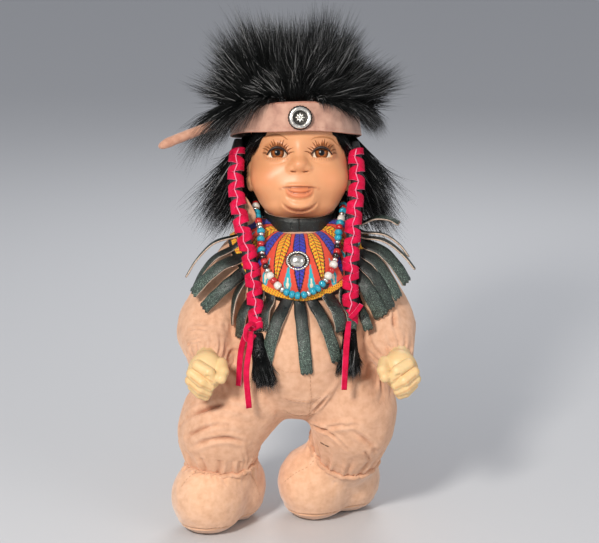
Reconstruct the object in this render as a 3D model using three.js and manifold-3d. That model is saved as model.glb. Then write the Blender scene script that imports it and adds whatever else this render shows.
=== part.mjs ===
// A standing baby doll in a soft suede romper with puffy booties. It wears a fur crest and a suede
// headband with a round metal button, two braids wrapped in a flat lace, a fringed leather collar,
// a printed cloth yoke, a bead necklace and a brooch.
// Millimetres, +Z up. The doll faces -Y and stands on z = 0, its left hand on the +X side.
import * as THREE from "three";
import { mergeVertices } from "three/addons/utils/BufferGeometryUtils.js";
import Module from "manifold-3d";

const GAP = 0.35; // air between two pieces that touch
const FLOOR = -53; // the soles, from the height that the body is drawn at
const HEAD_CENTRE = new THREE.Vector3(0, 33, 278);
const HEAD_LIFT = THREE.MathUtils.degToRad(14); // the face looks up a little
const EYE_RADIUS = 10;
const EYE_SPACING = 37.5;
const BAND_BOTTOM = 15; // the headband, in the head's own frame
const BAND_TOP = 37;
const BAND_THICKNESS = 1.6;
const BUTTON_DIAMETER = 20;
const BROOCH_DIAMETER = 18;
const COLLAR_THICKNESS = 1.3;
const YOKE_THICKNESS = 1.2;
const STRIP_WIDTH = 11;
const STRIP_THICKNESS = 1.6;
const BRAID_RADIUS = 4.6;
const LACE_WIDTH = 5;
const LACE_THICKNESS = 1.3;
const WRAP_PITCH = 15; // from one crossing of the braid's lace to the next
const BRAID_STEPS = 10;
const BEAD_LENGTH = 6.4;
const BEAD_RADIUS = 3.4;
const TUFTS = 44;

const wasm = await Module();
wasm.setup();

const V = (x, y, z) => new THREE.Vector3(x, y, z);

// A closed geometry as a solid, moved by a matrix.
function solid(geometry, matrix = new THREE.Matrix4()) {
  const bare = new THREE.BufferGeometry();
  bare.setAttribute("position", geometry.getAttribute("position").clone());
  if (geometry.index) bare.setIndex(geometry.index.clone());
  bare.applyMatrix4(matrix);
  const merged = mergeVertices(bare, 1e-4);
  return new wasm.Manifold(
    new wasm.Mesh({
      numProp: 3,
      vertProperties: new Float32Array(merged.attributes.position.array),
      triVerts: new Uint32Array(merged.index.array),
    }),
  );
}

function geometryOf(shape) {
  const found = shape.getMesh();
  const geometry = new THREE.BufferGeometry();
  geometry.setAttribute("position", new THREE.BufferAttribute(found.vertProperties, 3));
  geometry.setIndex(new THREE.BufferAttribute(found.triVerts, 1));
  geometry.computeVertexNormals();
  return geometry;
}

function meshOf(shape, name, look) {
  const mesh = new THREE.Mesh(geometryOf(shape), look);
  mesh.name = name;
  return mesh;
}

const moved = (shape, matrix) => solid(geometryOf(shape), matrix);

const join = (...shapes) => shapes.reduce((sum, shape) => sum.add(shape));

// The largest body of a solid, without the crumbs that a cut left beside it.
function largest(shape) {
  return shape.decompose().reduce((a, b) => (b.volume() > a.volume() ? b : a));
}

function turnedFromY(direction) {
  return new THREE.Quaternion().setFromUnitVectors(V(0, 1, 0), direction.clone().normalize());
}

function ellipsoid(centre, radii, around = 16, rows = 10, turn = new THREE.Quaternion()) {
  const matrix = new THREE.Matrix4().compose(centre, turn, radii);
  return solid(new THREE.SphereGeometry(1, around, rows), matrix);
}

// A limb with round ends, from a to b, its radius going from ra to rb.
function limb(a, b, ra, rb, around = 12) {
  const length = a.distanceTo(b);
  const lean = Math.asin((ra - rb) / length);
  const steps = Math.max(2, Math.round(around / 5));
  const profile = [];
  for (let i = 0; i <= steps; i++) {
    const t = -Math.PI / 2 + (i / steps) * (lean + Math.PI / 2);
    profile.push(new THREE.Vector2(i ? ra * Math.cos(t) : 0, ra * Math.sin(t)));
  }
  for (let i = 0; i <= steps; i++) {
    const t = lean + (i / steps) * (Math.PI / 2 - lean);
    profile.push(new THREE.Vector2(i < steps ? rb * Math.cos(t) : 0, length + rb * Math.sin(t)));
  }
  const matrix = new THREE.Matrix4().compose(a, turnedFromY(b.clone().sub(a)), V(1, 1, 1));
  return solid(new THREE.LatheGeometry(profile, around), matrix);
}

// A chain of limbs through a list of points, each a place and a radius.
function chain(points, radii, around = 8) {
  const links = points.slice(1).map((p, i) => limb(points[i], p, radii[i], radii[i + 1], around));
  return join(...links);
}

// A round cord along a smooth curve through a list of points.
function tubeGeometry(points, radius, sides, steps) {
  const outline = new THREE.Shape().absarc(0, 0, radius, 0, 2 * Math.PI);
  return new THREE.ExtrudeGeometry(outline, {
    steps,
    curveSegments: sides / 2, // a full circle takes twice as many
    extrudePath: new THREE.CatmullRomCurve3(points),
  });
}

function box(centre, size, turn = new THREE.Quaternion()) {
  const matrix = new THREE.Matrix4().compose(centre, turn, V(1, 1, 1));
  return solid(new THREE.BoxGeometry(size.x, size.y, size.z), matrix);
}

// A ring with a rectangular section, its axis along Z, stretched by scale.
function ring(inner, outer, bottom, top, centre, scale, around = 40) {
  const profile = [
    new THREE.Vector2(inner, bottom),
    new THREE.Vector2(outer, bottom),
    new THREE.Vector2(outer, top),
    new THREE.Vector2(inner, top),
    new THREE.Vector2(inner, bottom),
  ];
  const upright = new THREE.Quaternion().setFromAxisAngle(V(1, 0, 0), Math.PI / 2);
  const geometry = new THREE.LatheGeometry(profile, around);
  geometry.applyMatrix4(new THREE.Matrix4().makeRotationFromQuaternion(upright));
  return solid(geometry, new THREE.Matrix4().compose(centre, new THREE.Quaternion(), scale));
}

function material(color, roughness, metalness = 0) {
  return new THREE.MeshStandardMaterial({ color, roughness, metalness, flatShading: true });
}

const vinyl = material(0xe8b285, 0.35);
const handVinyl = material(0xf2cf98, 0.4);
const eyeGlass = material(0x5a2f12, 0.08);
const suede = material(0xe3b896, 0.95);
const bandSuede = material(0xd39a84, 0.95);
const fur = material(0x0b0b0b, 0.55);
const leather = material(0x15201b, 0.4);
const print = material(0xc9452f, 0.9);
const lacePink = material(0xd4164a, 0.85);
const metal = material(0xc4c2bd, 0.3, 1);
const glassBead = material(0x2fb5c4, 0.25);

const underFloor = box(V(0, 0, FLOOR - 100), V(800, 800, 200));

// The clothed body without its limbs. grow thickens it all round, for what lies on top of it.
function torso(grow) {
  const hips = ellipsoid(V(0, -6, 95), V(63 + grow, 54 + grow, 50 + grow), 16, 8);
  const belly = ellipsoid(V(0, -8, 108), V(59 + grow, 53 + grow, 60 + grow), 16, 8);
  const chest = ellipsoid(V(0, 6, 158), V(52 + grow, 44 + grow, 60 + grow), 16, 8);
  const shoulders = limb(V(-30, 14, 197), V(30, 14, 197), 22 + grow, 22 + grow, 12);
  return join(hips, belly, chest, shoulders);
}

// One sleeve and one trouser leg on each side. side is -1 for the doll's right.
function limbs(side, grow) {
  const elbow = side < 0 ? V(-83, 4, 125) : V(76, 4, 128);
  const wrist = side < 0 ? V(-78, -42, 107) : V(82, -38, 108);
  const hip = side < 0 ? V(-42, -10, 76) : V(42, -10, 74);
  const knee = side < 0 ? V(-70, -18, 40) : V(48, -16, 48);
  const ankle = side < 0 ? V(-71, -14, 12) : V(43, -2, 16);
  const sleeve = chain([V(side * 46, 12, 185), elbow, wrist], [24 + grow, 27 + grow, 15 + grow], 10);
  const leg = chain([hip, knee, ankle], [41 + grow, 39 + grow, 30 + grow], 12);
  return join(sleeve, leg);
}

// The whole stuffed romper, its legs ending inside the booties.
function romperShape(grow) {
  return join(torso(grow), limbs(-1, grow), limbs(1, grow)).subtract(underFloor);
}

// A puffy bootie around a trouser leg, its toe turned by heading from straight ahead.
function bootie(centre, heading, ankle) {
  const turn = new THREE.Quaternion().setFromAxisAngle(V(0, 0, 1), heading);
  const at = (x, y, z) => V(x, y, z).applyQuaternion(turn).add(centre);
  const toe = ellipsoid(at(0, -17, 31), V(35, 36, 38), 12, 8, turn);
  const heel = ellipsoid(at(0, 18, 30), V(32, 32, 36), 12, 8, turn);
  const top = limb(at(0, 6, 44), ankle, 32, 35, 12);
  return join(toe, heel, top).subtract(underFloor);
}

const legGap = join(limbs(-1, GAP), limbs(1, GAP));
const bootieRight = bootie(V(-70, -12, FLOOR), -0.62, V(-71, -14, 14)).subtract(legGap);
const bootieLeft = bootie(V(28, 18, FLOOR), -1.0, V(42, 0, 16)).subtract(legGap);

// The head, in its own frame: the face looks along -Y and the origin is the middle of the skull.
const headTurn = new THREE.Quaternion().setFromAxisAngle(V(1, 0, 0), -HEAD_LIFT);
const headFrame = new THREE.Matrix4().compose(HEAD_CENTRE, headTurn, V(1, 1, 1));
const intoHead = headFrame.clone().invert();

function headShape(grow) {
  const skull = ellipsoid(V(0, 6, 8), V(47 + grow, 51 + grow, 50 + grow));
  const jaw = ellipsoid(V(0, -7, -21), V(45.5 + grow, 44 + grow, 38 + grow));
  return join(skull, jaw);
}

function neckShape(grow) {
  return limb(V(0, 4, -34), V(0, 2, -70), 23 + grow, 23 + grow, 12);
}

const bothSides = (make) => join(make(-1), make(1));
const cheeks = bothSides((side) => ellipsoid(V(side * 25, -30, -27), V(18, 18, 17), 8, 5));
const chin = ellipsoid(V(0, -40, -46), V(15, 12, 10), 10, 6);
const nose = join(
  limb(V(0, -49, 2), V(0, -54, -14), 3.5, 5.5, 8),
  bothSides((side) => ellipsoid(V(side * 6, -50, -16.5), V(4.5, 5, 4), 8, 6)),
);
const lips = join(
  ellipsoid(V(0, -50, -34), V(13, 5, 3), 8, 4),
  ellipsoid(V(0, -49, -41), V(11, 6, 3.6), 8, 4),
);
const earShape = (grow) =>
  bothSides((side) => ellipsoid(V(side * 45, 4, -20), V(4.5 + grow, 9 + grow, 14 + grow), 8, 6));
const eyeCentre = (side) => V((side * EYE_SPACING) / 2, -38.5, -2.5);
const socket = (side) => ellipsoid(eyeCentre(side), V(1, 1, 1).multiplyScalar(EYE_RADIUS + GAP), 12, 8);
const lidOpening = (side) => limb(eyeCentre(side), V(side * 19.5, -80, -2.5), 5.5, 9, 8);
const headSolid = largest(
  join(headShape(0), cheeks, chin, nose, lips, earShape(0), neckShape(0))
    .subtract(bothSides(socket))
    .subtract(bothSides(lidOpening)),
);

// The romper has a round opening for the neck.
const neckHole = moved(neckShape(GAP), headFrame);
const romperBody = largest(romperShape(0).subtract(neckHole));

// A curled hand in its own frame, reaching along -Y: a palm, four fingers folded under and a thumb.
// side is -1 for the doll's right hand.
function hand(side) {
  const palm = ellipsoid(V(0, -7, -3), V(12, 17, 12), 12, 6);
  const wrist = limb(V(0, 20, 5), V(0, 2, 0), 9, 10, 8);
  const fingers = [-9, -3, 3, 9].map((x, i) => {
    const reach = Math.abs(i - 1.5);
    return limb(V(x, -21 + reach, 0), V(x * 0.85, -24 + reach, -13), 4.6, 3.8, 6);
  });
  return join(palm, wrist, ...fingers, limb(V(-side * 11, -4, 1), V(-side * 12, -20, -5), 5, 4, 6));
}

function placedHand(side, at, turnX, turnY, turnZ) {
  const turn = new THREE.Quaternion().setFromEuler(new THREE.Euler(turnX, turnY, turnZ, "ZYX"));
  const frame = new THREE.Matrix4().compose(at, turn, V(1, 1, 1));
  return largest(moved(hand(side), frame).subtract(romperShape(GAP)));
}

const handRight = placedHand(-1, V(-79, -66, 103), 0.35, 0, -0.25);
const handLeft = placedHand(1, V(85, -62, 103), 0.35, 0, 0.25);

// A suede headband, an oval ring round the hair, and its round metal button.
const bandOval = V(1, 1.13, 1);
const bandCentre = V(-2, 4, 0);
const BAND_RADIUS = 53.5;

function bandShape(grow) {
  const outer = BAND_RADIUS + BAND_THICKNESS + grow;
  return ring(BAND_RADIUS - grow, outer, BAND_BOTTOM - grow, BAND_TOP + grow, bandCentre, bandOval, 32);
}

// A low round button: a rim, a groove and a raised middle. It faces along +Y.
function button(diameter, depth) {
  const r = diameter / 2;
  const profile = [
    new THREE.Vector2(0, 0),
    new THREE.Vector2(r, 0),
    new THREE.Vector2(r, depth * 0.5),
    new THREE.Vector2(r * 0.86, depth * 0.8),
    new THREE.Vector2(r * 0.62, depth * 0.45),
    new THREE.Vector2(r * 0.4, depth),
    new THREE.Vector2(0, depth * 1.25),
  ];
  return new THREE.LatheGeometry(profile, 20);
}

// A braid hangs from the temple over the chest and ends in a tassel.
const braidPath = {
  [-1]: [V(-53, 23, 287), V(-55, 3, 255), V(-50, -16, 222), V(-41.5, -29, 189), V(-38, -39, 160), V(-36, -48, 138)],
  [1]: [V(50, 23, 285), V(51.5, 3, 255), V(47.5, -16, 222), V(44, -28, 189), V(43.5, -36, 158), V(43, -42, 143)],
};
const tasselPath = {
  [-1]: [V(-36, -49, 136), V(-33, -64, 113), V(-28, -68, 90)],
  [1]: [V(43, -43, 141), V(42.5, -56, 119), V(41, -61, 98)],
};

function braidShape(side, grow) {
  const core = solid(tubeGeometry(braidPath[side], BRAID_RADIUS + grow, 8, BRAID_STEPS));
  return join(core, chain(tasselPath[side], [BRAID_RADIUS + grow, 7 + grow, 9 + grow], 8));
}

// The braid is bare for a little way at its root and above its tassel.
function bareEnds(side) {
  const path = braidPath[side];
  const cube = V(20, 20, 20);
  const root = box(path[0], cube, turnedFromY(path[0].clone().sub(path[1])));
  const foot = box(path.at(-1), V(20, 8, 20), turnedFromY(path.at(-1).clone().sub(path.at(-2))));
  return join(root, foot);
}

// The lace is wound crosswise round the braid, with dark notches left open at both sides.
function laceShape(side, grow) {
  const outer = BRAID_RADIUS + GAP + LACE_THICKNESS + grow;
  return solid(tubeGeometry(braidPath[side], outer, 8, BRAID_STEPS)).subtract(bareEnds(side));
}

function laceNotches(side) {
  const curve = new THREE.CatmullRomCurve3(braidPath[side]);
  const count = Math.floor(curve.getLength() / WRAP_PITCH) - 1;
  const notches = [];
  for (let i = 1; i <= count; i++) {
    const middle = curve.getPointAt((i + 0.5) / (count + 2));
    const x = i % 2 ? 1 : -1;
    const corner = new THREE.TetrahedronGeometry(4.6);
    corner.rotateZ((x * Math.PI) / 4);
    corner.translate(x * 6.6, 0, 0);
    notches.push(solid(corner, new THREE.Matrix4().setPosition(middle)));
  }
  return join(...notches);
}

const braidSolid = (side) => largest(braidShape(side, 0).subtract(neckHole));
const laceWrap = (side) =>
  largest(laceShape(side, 0).subtract(braidShape(side, GAP)).subtract(laceNotches(side)));
const braidSpace = bothSides((side) => join(braidShape(side, GAP), laceShape(side, GAP)));

// A string of beads lies on the yoke and runs round behind the neck.
const necklaceCurve = new THREE.CatmullRomCurve3(
  [
    V(-33, -15, 214),
    V(-33, -22, 202),
    V(-29.5, -33, 191),
    V(-23.5, -40, 180),
    V(-13, -45.5, 170),
    V(0, -47.5, 166),
    V(14, -45, 171),
    V(24, -40, 181),
    V(30, -31.5, 193),
    V(32.5, -21, 203),
    V(34, -13, 216),
    V(38, 10, 230.5),
    V(34, 38, 230),
    V(0, 59, 227),
    V(-34, 38, 230),
    V(-38, 10, 230.5),
  ],
  true,
);

function necklaceShape() {
  const count = Math.round(necklaceCurve.getLength() / BEAD_LENGTH);
  const beads = [];
  for (let i = 0; i < count; i++) {
    const turn = turnedFromY(necklaceCurve.getTangentAt(i / count));
    const size = V(BEAD_RADIUS, BEAD_LENGTH * 0.62, BEAD_RADIUS);
    beads.push(ellipsoid(necklaceCurve.getPointAt(i / count), size, 4, 2, turn));
  }
  return join(...beads);
}

// The leather collar: a band round the neck, a cape on the shoulders and a fringe of cut strips.
function sleeves(grow) {
  const elbow = (side) => (side < 0 ? V(-80, 4, 126) : V(76, 4, 128));
  return bothSides((side) => limb(V(side * 46, 12, 185), elbow(side), 24 + grow, 27 + grow, 10));
}

const clothed = (grow) => join(torso(grow), sleeves(grow));
const clothedMesh = meshOf(clothed(GAP), "clothed", new THREE.MeshBasicMaterial({ side: THREE.DoubleSide }));
const REGION_CENTRE = V(0, 10, 224);
const REGION_RADII = V(62, 92, 80);
const region = (grow) => ellipsoid(REGION_CENTRE, REGION_RADII.clone().addScalar(grow), 20, 12);
const neckColumn = (radius) => ring(0, radius, 190, 250, V(0, 22, 0), V(1.05, 1.1, 1), 20);

function cape(inner, outer, reach) {
  return clothed(outer).subtract(clothed(inner)).intersect(region(reach)).subtract(neckColumn(27));
}

// Each strip leaves the cape's edge at a bearing, 0 straight ahead and positive towards +X, with its
// length and the angle by which it droops.
const FRINGE = [
  [-96, 54, 34],
  [-80, 54, 48],
  [-66, 54, 54],
  [-54, 54, 70],
  [-42, 50, 70],
  [-29, 46, 70],
  [-17, 62, 69],
  [3, 62, 69],
  [20, 62, 69],
  [33, 46, 70],
  [48, 54, 68],
  [59, 50, 60],
  [69, 50, 58],
  [79, 52, 52],
  [89, 48, 40],
  [102, 52, 28],
  [118, 48, -12],
];
const BACK_BEARINGS = [-112, -126, -140, -154, -168, 134, 148, 162, 176];
const BACK_LENGTH = 50;
const BACK_DROOP = 66;

// Where the cape's edge lies at a bearing: rays from inside the chest find the body's surface, from
// straight up to steeply down, until the surface is outside the cape's region.
function capeEdge(bearing) {
  const a = THREE.MathUtils.degToRad(bearing);
  const ray = new THREE.Raycaster();
  for (let dip = -80; dip < 80; dip += 2) {
    const d = THREE.MathUtils.degToRad(dip);
    const way = V(Math.sin(a) * Math.cos(d), -Math.cos(a) * Math.cos(d), -Math.sin(d));
    ray.set(V(0, 10, 196), way);
    const hits = ray.intersectObject(clothedMesh);
    const { point } = hits.at(-1);
    const from = point.clone().sub(REGION_CENTRE).divide(REGION_RADII);
    if (from.z < 0 && from.length() > 1) return point;
  }
  throw new Error("the cape has no edge at " + bearing);
}

function strip(bearing, length, droop, grow) {
  const a = THREE.MathUtils.degToRad(bearing);
  const d = THREE.MathUtils.degToRad(droop);
  const outward = V(Math.sin(a) * Math.cos(d), -Math.cos(a) * Math.cos(d), -Math.sin(d));
  const across = V(Math.cos(a), Math.sin(a), 0);
  const basis = new THREE.Matrix4().makeBasis(across, outward, across.clone().cross(outward));
  basis.setPosition(capeEdge(bearing).addScaledVector(outward, length / 2 - 4));
  const size = [STRIP_WIDTH + 2 * grow, length + 8 + 2 * grow, STRIP_THICKNESS + 2 * grow];
  return solid(new THREE.BoxGeometry(...size), basis);
}

function fringe(grow) {
  return join(
    ...FRINGE.map(([bearing, length, droop]) => strip(bearing, length, droop, grow)),
    ...BACK_BEARINGS.map((bearing) => strip(bearing, BACK_LENGTH, BACK_DROOP, grow)),
  );
}

const neckBand = ring(27.5, 29.5, 200, 226, V(0, 22, 0), V(1.05, 1.1, 1), 20);
const collarShape = join(cape(GAP, GAP + COLLAR_THICKNESS, 3), fringe(0), neckBand);

const wornRomper = join(clothed(GAP), limbs(-1, GAP), limbs(1, GAP));
const collarSolid = largest(collarShape.subtract(wornRomper).subtract(braidSpace).subtract(neckHole));

// The printed yoke lies on the cape, and the brooch on the yoke.
const yokeInner = 2 * GAP + COLLAR_THICKNESS;
const yokeSolid = largest(
  cape(yokeInner, yokeInner + YOKE_THICKNESS, 0)
    .subtract(neckColumn(30))
    .subtract(fringe(GAP)),
);

// The hair below the band and the tall fur crest above it.
const neckSpace = ring(0, 42, 190, 235, V(0, 22, 0), V(1, 1.12, 1), 16);
const collarSpace = moved(join(torso(11), neckSpace, braidSpace), intoHead);
const backHair = ellipsoid(V(0, 20, -4), V(53, 46, 56), 14, 8);
const hairFront = box(V(0, -60, 0), V(200, 130, 200));
const sideLocks = join(
  chain([V(-48, 14, 4), V(-60, 16, -20), V(-76, 18, -44)], [9, 14, 11], 10),
  chain([V(48, 14, 4), V(58, 16, -14), V(70, 18, -36)], [9, 13, 11], 10),
);
const aboveBand = box(V(0, 0, BAND_BOTTOM + 98), V(300, 300, 200));
const headSpace = join(headShape(GAP), earShape(GAP), neckShape(GAP));
const hairSolid = largest(
  join(backHair.subtract(hairFront), sideLocks)
    .subtract(headSpace)
    .subtract(bandShape(GAP))
    .subtract(aboveBand)
    .subtract(collarSpace),
);

const CREST_CENTRE = V(-4, 12, 34);
const CREST_REACH = V(96, 72, 86);
const rollPath = [V(-58, -18, 23), V(-92, -24, 12), V(-119, -30, 1)];
const rollShape = (grow) => chain(rollPath, [4 + grow, 5 + grow, 5 + grow], 8);

// Tufts of fur stand out from the crown in every direction, spread evenly by the golden angle.
function tufts() {
  const spikes = [];
  const golden = Math.PI * (3 - Math.sqrt(5));
  for (let i = 0; i < TUFTS; i++) {
    const up = 1 - (1.12 * (i + 0.5)) / TUFTS;
    const side = Math.sqrt(1 - up * up);
    const way = V(side * Math.cos(i * golden), side * Math.sin(i * golden) * 0.75, up).normalize();
    const tip = CREST_CENTRE.clone().add(way.clone().multiply(CREST_REACH));
    const cone = new THREE.ConeGeometry(15, 62, 5);
    cone.translate(0, -31, 0);
    const frame = new THREE.Matrix4().compose(tip, turnedFromY(way), V(1, 1, 1));
    spikes.push(solid(cone, frame));
  }
  return join(...spikes);
}

const crestDome = join(
  ellipsoid(V(-2, 12, 46), V(66, 50, 50), 14, 8),
  ellipsoid(V(-52, 14, 40), V(34, 32, 30), 10, 6),
  ellipsoid(V(50, 14, 42), V(30, 30, 32), 10, 6),
  tufts(),
);
const crestFront = box(V(0, -80, -40), V(300, 100, BAND_TOP * 2 + 84));
const crestSolid = largest(
  crestDome
    .subtract(headShape(GAP))
    .subtract(bandShape(GAP))
    .subtract(crestFront)
    .subtract(ring(0, 62, -60, BAND_TOP - 6, V(0, 4, 0), bandOval, 24))
    .subtract(rollShape(GAP))
    .subtract(collarSpace),
);

// A small suede tab with a cut corner, standing at the side of the neck.
function tab() {
  const outline = new THREE.Shape([
    new THREE.Vector2(-6, 7),
    new THREE.Vector2(-3, -7),
    new THREE.Vector2(5, -8),
    new THREE.Vector2(4, -2),
  ]);
  return new THREE.ExtrudeGeometry(outline, { depth: 1.4, bevelEnabled: false });
}

const doll = new THREE.Group();
const head = new THREE.Group();
head.position.copy(HEAD_CENTRE);
head.quaternion.copy(headTurn);
doll.add(head);

function placed(geometry, name, look, at, turn = new THREE.Euler()) {
  const mesh = new THREE.Mesh(geometry, look);
  mesh.name = name;
  mesh.position.copy(at);
  mesh.rotation.copy(turn);
  return mesh;
}

head.add(meshOf(headSolid, "head", vinyl));
head.add(placed(new THREE.SphereGeometry(EYE_RADIUS, 12, 8), "eye_right", eyeGlass, eyeCentre(-1)));
head.add(placed(new THREE.SphereGeometry(EYE_RADIUS, 12, 8), "eye_left", eyeGlass, eyeCentre(1)));
head.add(meshOf(bandShape(0), "headband", bandSuede));
const bandFront = bandCentre.y - (BAND_RADIUS + BAND_THICKNESS) * bandOval.y;
const facing = new THREE.Euler(Math.PI, 0, 0);
head.add(placed(button(BUTTON_DIAMETER, 3), "headband_button", metal, V(0.5, bandFront - GAP, 26), facing));
head.add(meshOf(hairSolid, "hair", fur));
head.add(meshOf(crestSolid, "fur_crest", fur));
head.add(meshOf(largest(rollShape(0).subtract(bandShape(GAP))), "suede_roll", bandSuede));

doll.add(meshOf(romperBody, "romper", suede));
doll.add(meshOf(largest(bootieRight), "bootie_right", suede));
doll.add(meshOf(largest(bootieLeft), "bootie_left", suede));
doll.add(meshOf(handRight, "hand_right", handVinyl));
doll.add(meshOf(handLeft, "hand_left", handVinyl));
doll.add(meshOf(collarSolid, "fringe_collar", leather));
doll.add(meshOf(yokeSolid, "printed_yoke", print));
doll.add(meshOf(necklaceShape(), "necklace", glassBead));
const broochTurn = new THREE.Euler(Math.PI - 0.42, 0, 0);
doll.add(placed(button(BROOCH_DIAMETER, 5), "brooch", metal, V(-1.7, -36.5, 194), broochTurn));
for (const side of [-1, 1]) {
  const label = side < 0 ? "right" : "left";
  doll.add(meshOf(braidSolid(side), "braid_" + label, fur));
  doll.add(meshOf(laceWrap(side), "braid_lace_" + label, lacePink));
}
const laceEnds = {
  lace_end_right_long: [V(-41, -57, 137), V(-42, -63, 125), V(-45, -69, 104), V(-43, -70, 73)],
  lace_end_right_short: [V(-45, -47, 136), V(-50, -51, 117), V(-52, -55, 88)],
  lace_end_left: [V(42, -51, 144), V(39.5, -66, 125), V(37.5, -73, 90)],
};
for (const [name, points] of Object.entries(laceEnds)) {
  doll.add(placed(tubeGeometry(points, LACE_WIDTH / 2, 8, 6), name, lacePink, V(0, 0, 0)));
}
doll.add(placed(tab(), "suede_tab", bandSuede, V(-45.5, 0, 228.5), new THREE.Euler(Math.PI / 2, 0, 0)));

// The origin is the middle of the whole doll's footprint, its hanging lace ends left out.
const overall = new THREE.Box3();
doll.updateMatrixWorld(true);
doll.traverse((piece) => {
  if (piece.isMesh && !(piece.name in laceEnds)) overall.expandByObject(piece, true);
});
const middle = overall.getCenter(new THREE.Vector3());
doll.position.set(-middle.x, -middle.y, -FLOOR);

export default doll;
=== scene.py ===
# A standing baby folk doll with a vinyl head and hands and a stuffed suede romper, made piece by
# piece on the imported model. Metres, +Z up; the doll faces -Y and its left hand is on the +X side.
import math

import bmesh
import bpy
import numpy as np
from mathutils import Matrix, Quaternion, Vector
from mathutils.bvhtree import BVHTree


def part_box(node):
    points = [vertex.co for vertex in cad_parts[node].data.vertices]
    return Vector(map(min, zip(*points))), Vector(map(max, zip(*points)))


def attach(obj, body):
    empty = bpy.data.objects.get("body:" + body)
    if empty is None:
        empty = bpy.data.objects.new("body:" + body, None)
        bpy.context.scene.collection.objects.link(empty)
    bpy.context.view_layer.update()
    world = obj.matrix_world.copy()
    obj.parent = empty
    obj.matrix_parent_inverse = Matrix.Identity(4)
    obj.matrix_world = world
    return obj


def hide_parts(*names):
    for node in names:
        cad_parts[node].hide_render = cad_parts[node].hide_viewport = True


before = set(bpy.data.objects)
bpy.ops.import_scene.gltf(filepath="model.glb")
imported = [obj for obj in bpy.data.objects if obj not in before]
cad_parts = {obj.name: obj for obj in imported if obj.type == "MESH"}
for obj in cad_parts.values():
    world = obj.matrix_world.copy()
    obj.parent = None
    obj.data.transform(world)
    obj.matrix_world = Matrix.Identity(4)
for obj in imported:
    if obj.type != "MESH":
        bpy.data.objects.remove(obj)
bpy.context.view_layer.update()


# ---- Camera, floor and light ----
# The camera looks down on the doll by 14 degrees from 1.7 m, through a long lens. The floor is plain
# and pale. One lamp hangs at the upper left, and two wide, weak ones fill the right and the back.
def put_in(name, data):
    """An object in the scene, from its mesh, lamp or camera."""
    made = bpy.data.objects.new(name, data)
    bpy.context.scene.collection.objects.link(made)
    return made


def surface_of(made):
    """The sockets of a material's surface."""
    return made.node_tree.nodes["Principled BSDF"].inputs


def finish(name, colour, roughness, **sockets):
    """A plain material; the sockets' names have _ for each space."""
    made = bpy.data.materials.new(name)
    made.use_nodes = True
    for socket, value in {"Base_Color": (*colour, 1), "Roughness": roughness, **sockets}.items():
        surface_of(made)[socket.replace("_", " ")].default_value = value
    made.diffuse_color = (*colour, 1)
    return made


look_down, camera_away = math.radians(14), 1.7
aim = Vector((0.0092, -0.0567, 0.238))
camera_data = bpy.data.cameras.new("camera")
camera_data.sensor_width = 36
camera_data.lens = 120.2
camera = put_in("camera", camera_data)
camera.location = aim + camera_away * Vector((0, -math.cos(look_down), math.sin(look_down)))
camera.rotation_euler = (math.pi / 2 - look_down, 0, 0)
bpy.context.scene.camera = camera
bpy.context.scene.view_settings.view_transform = "Standard"

floor_mesh = bpy.data.meshes.new("floor")
floor_mesh.from_pydata([(-9, -9, 0), (9, -9, 0), (9, 9, 0), (-9, 9, 0)], [], [(0, 1, 2, 3)])
floor_mesh.materials.append(finish("pale floor", (0.62, 0.63, 0.65), 0.9))
floor = put_in("floor", floor_mesh)

room = bpy.data.worlds.new("room")
room.use_nodes = True
room.node_tree.nodes["Background"].inputs["Color"].default_value = (0.86, 0.88, 0.94, 1)
room.node_tree.nodes["Background"].inputs["Strength"].default_value = 0.42
bpy.context.scene.world = room
for name, place, width, watts, tone in (
    ("upper left light", (-0.62, -1.45, 1.15), 0.28, 27, (1.0, 0.96, 0.90)),
    ("right fill", (1.2, -1.2, 0.7), 0.9, 5, (1.0, 0.96, 0.92)),
    ("light behind", (0.2, 1.2, 1.3), 0.8, 8, (1.0, 1.0, 1.0)),
):
    lamp = bpy.data.lights.new(name, "AREA")
    lamp.size = width
    lamp.energy = watts
    lamp.color = tone
    hung = put_in(name, lamp)
    hung.location = place
    hung.rotation_euler = (Vector((0, 0, 0.25)) - Vector(place)).to_track_quat("-Z", "Y").to_euler()


# ---- Lace ends ----
# Three ends of the flat crimson suede lace hang loose where each braid's wrapping is tied off. They
# are 5 mm wide, cut straight across, and limp enough to hang under their own weight.
def dye(red, green, blue):
    """A colour picked on a screen, 0 to 255, as the light it reflects."""
    picked = (channel / 255 for channel in (red, green, blue))
    return tuple(c / 12.92 if c <= 0.04045 else ((c + 0.055) / 1.055) ** 2.4 for c in picked)


def node(made, kind, **settings):
    """Adds a node; each setting is one of its sockets or, where there is none, an option of its own."""
    added = made.node_tree.nodes.new(kind)
    for key, value in settings.items():
        if key in added.inputs:
            added.inputs[key].default_value = value
        else:
            setattr(added, key, value)
    return added


def join(made, source, target):
    """Links two sockets of a material."""
    made.node_tree.links.new(source, target)


def stretched(made, stretch):
    """Object coordinates, stretched along the axes by these factors."""
    place = node(made, "ShaderNodeTexCoord")
    scaled = node(made, "ShaderNodeMapping", Scale=stretch)
    join(made, place.outputs["Object"], scaled.inputs["Vector"])
    return scaled.outputs["Vector"]


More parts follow.
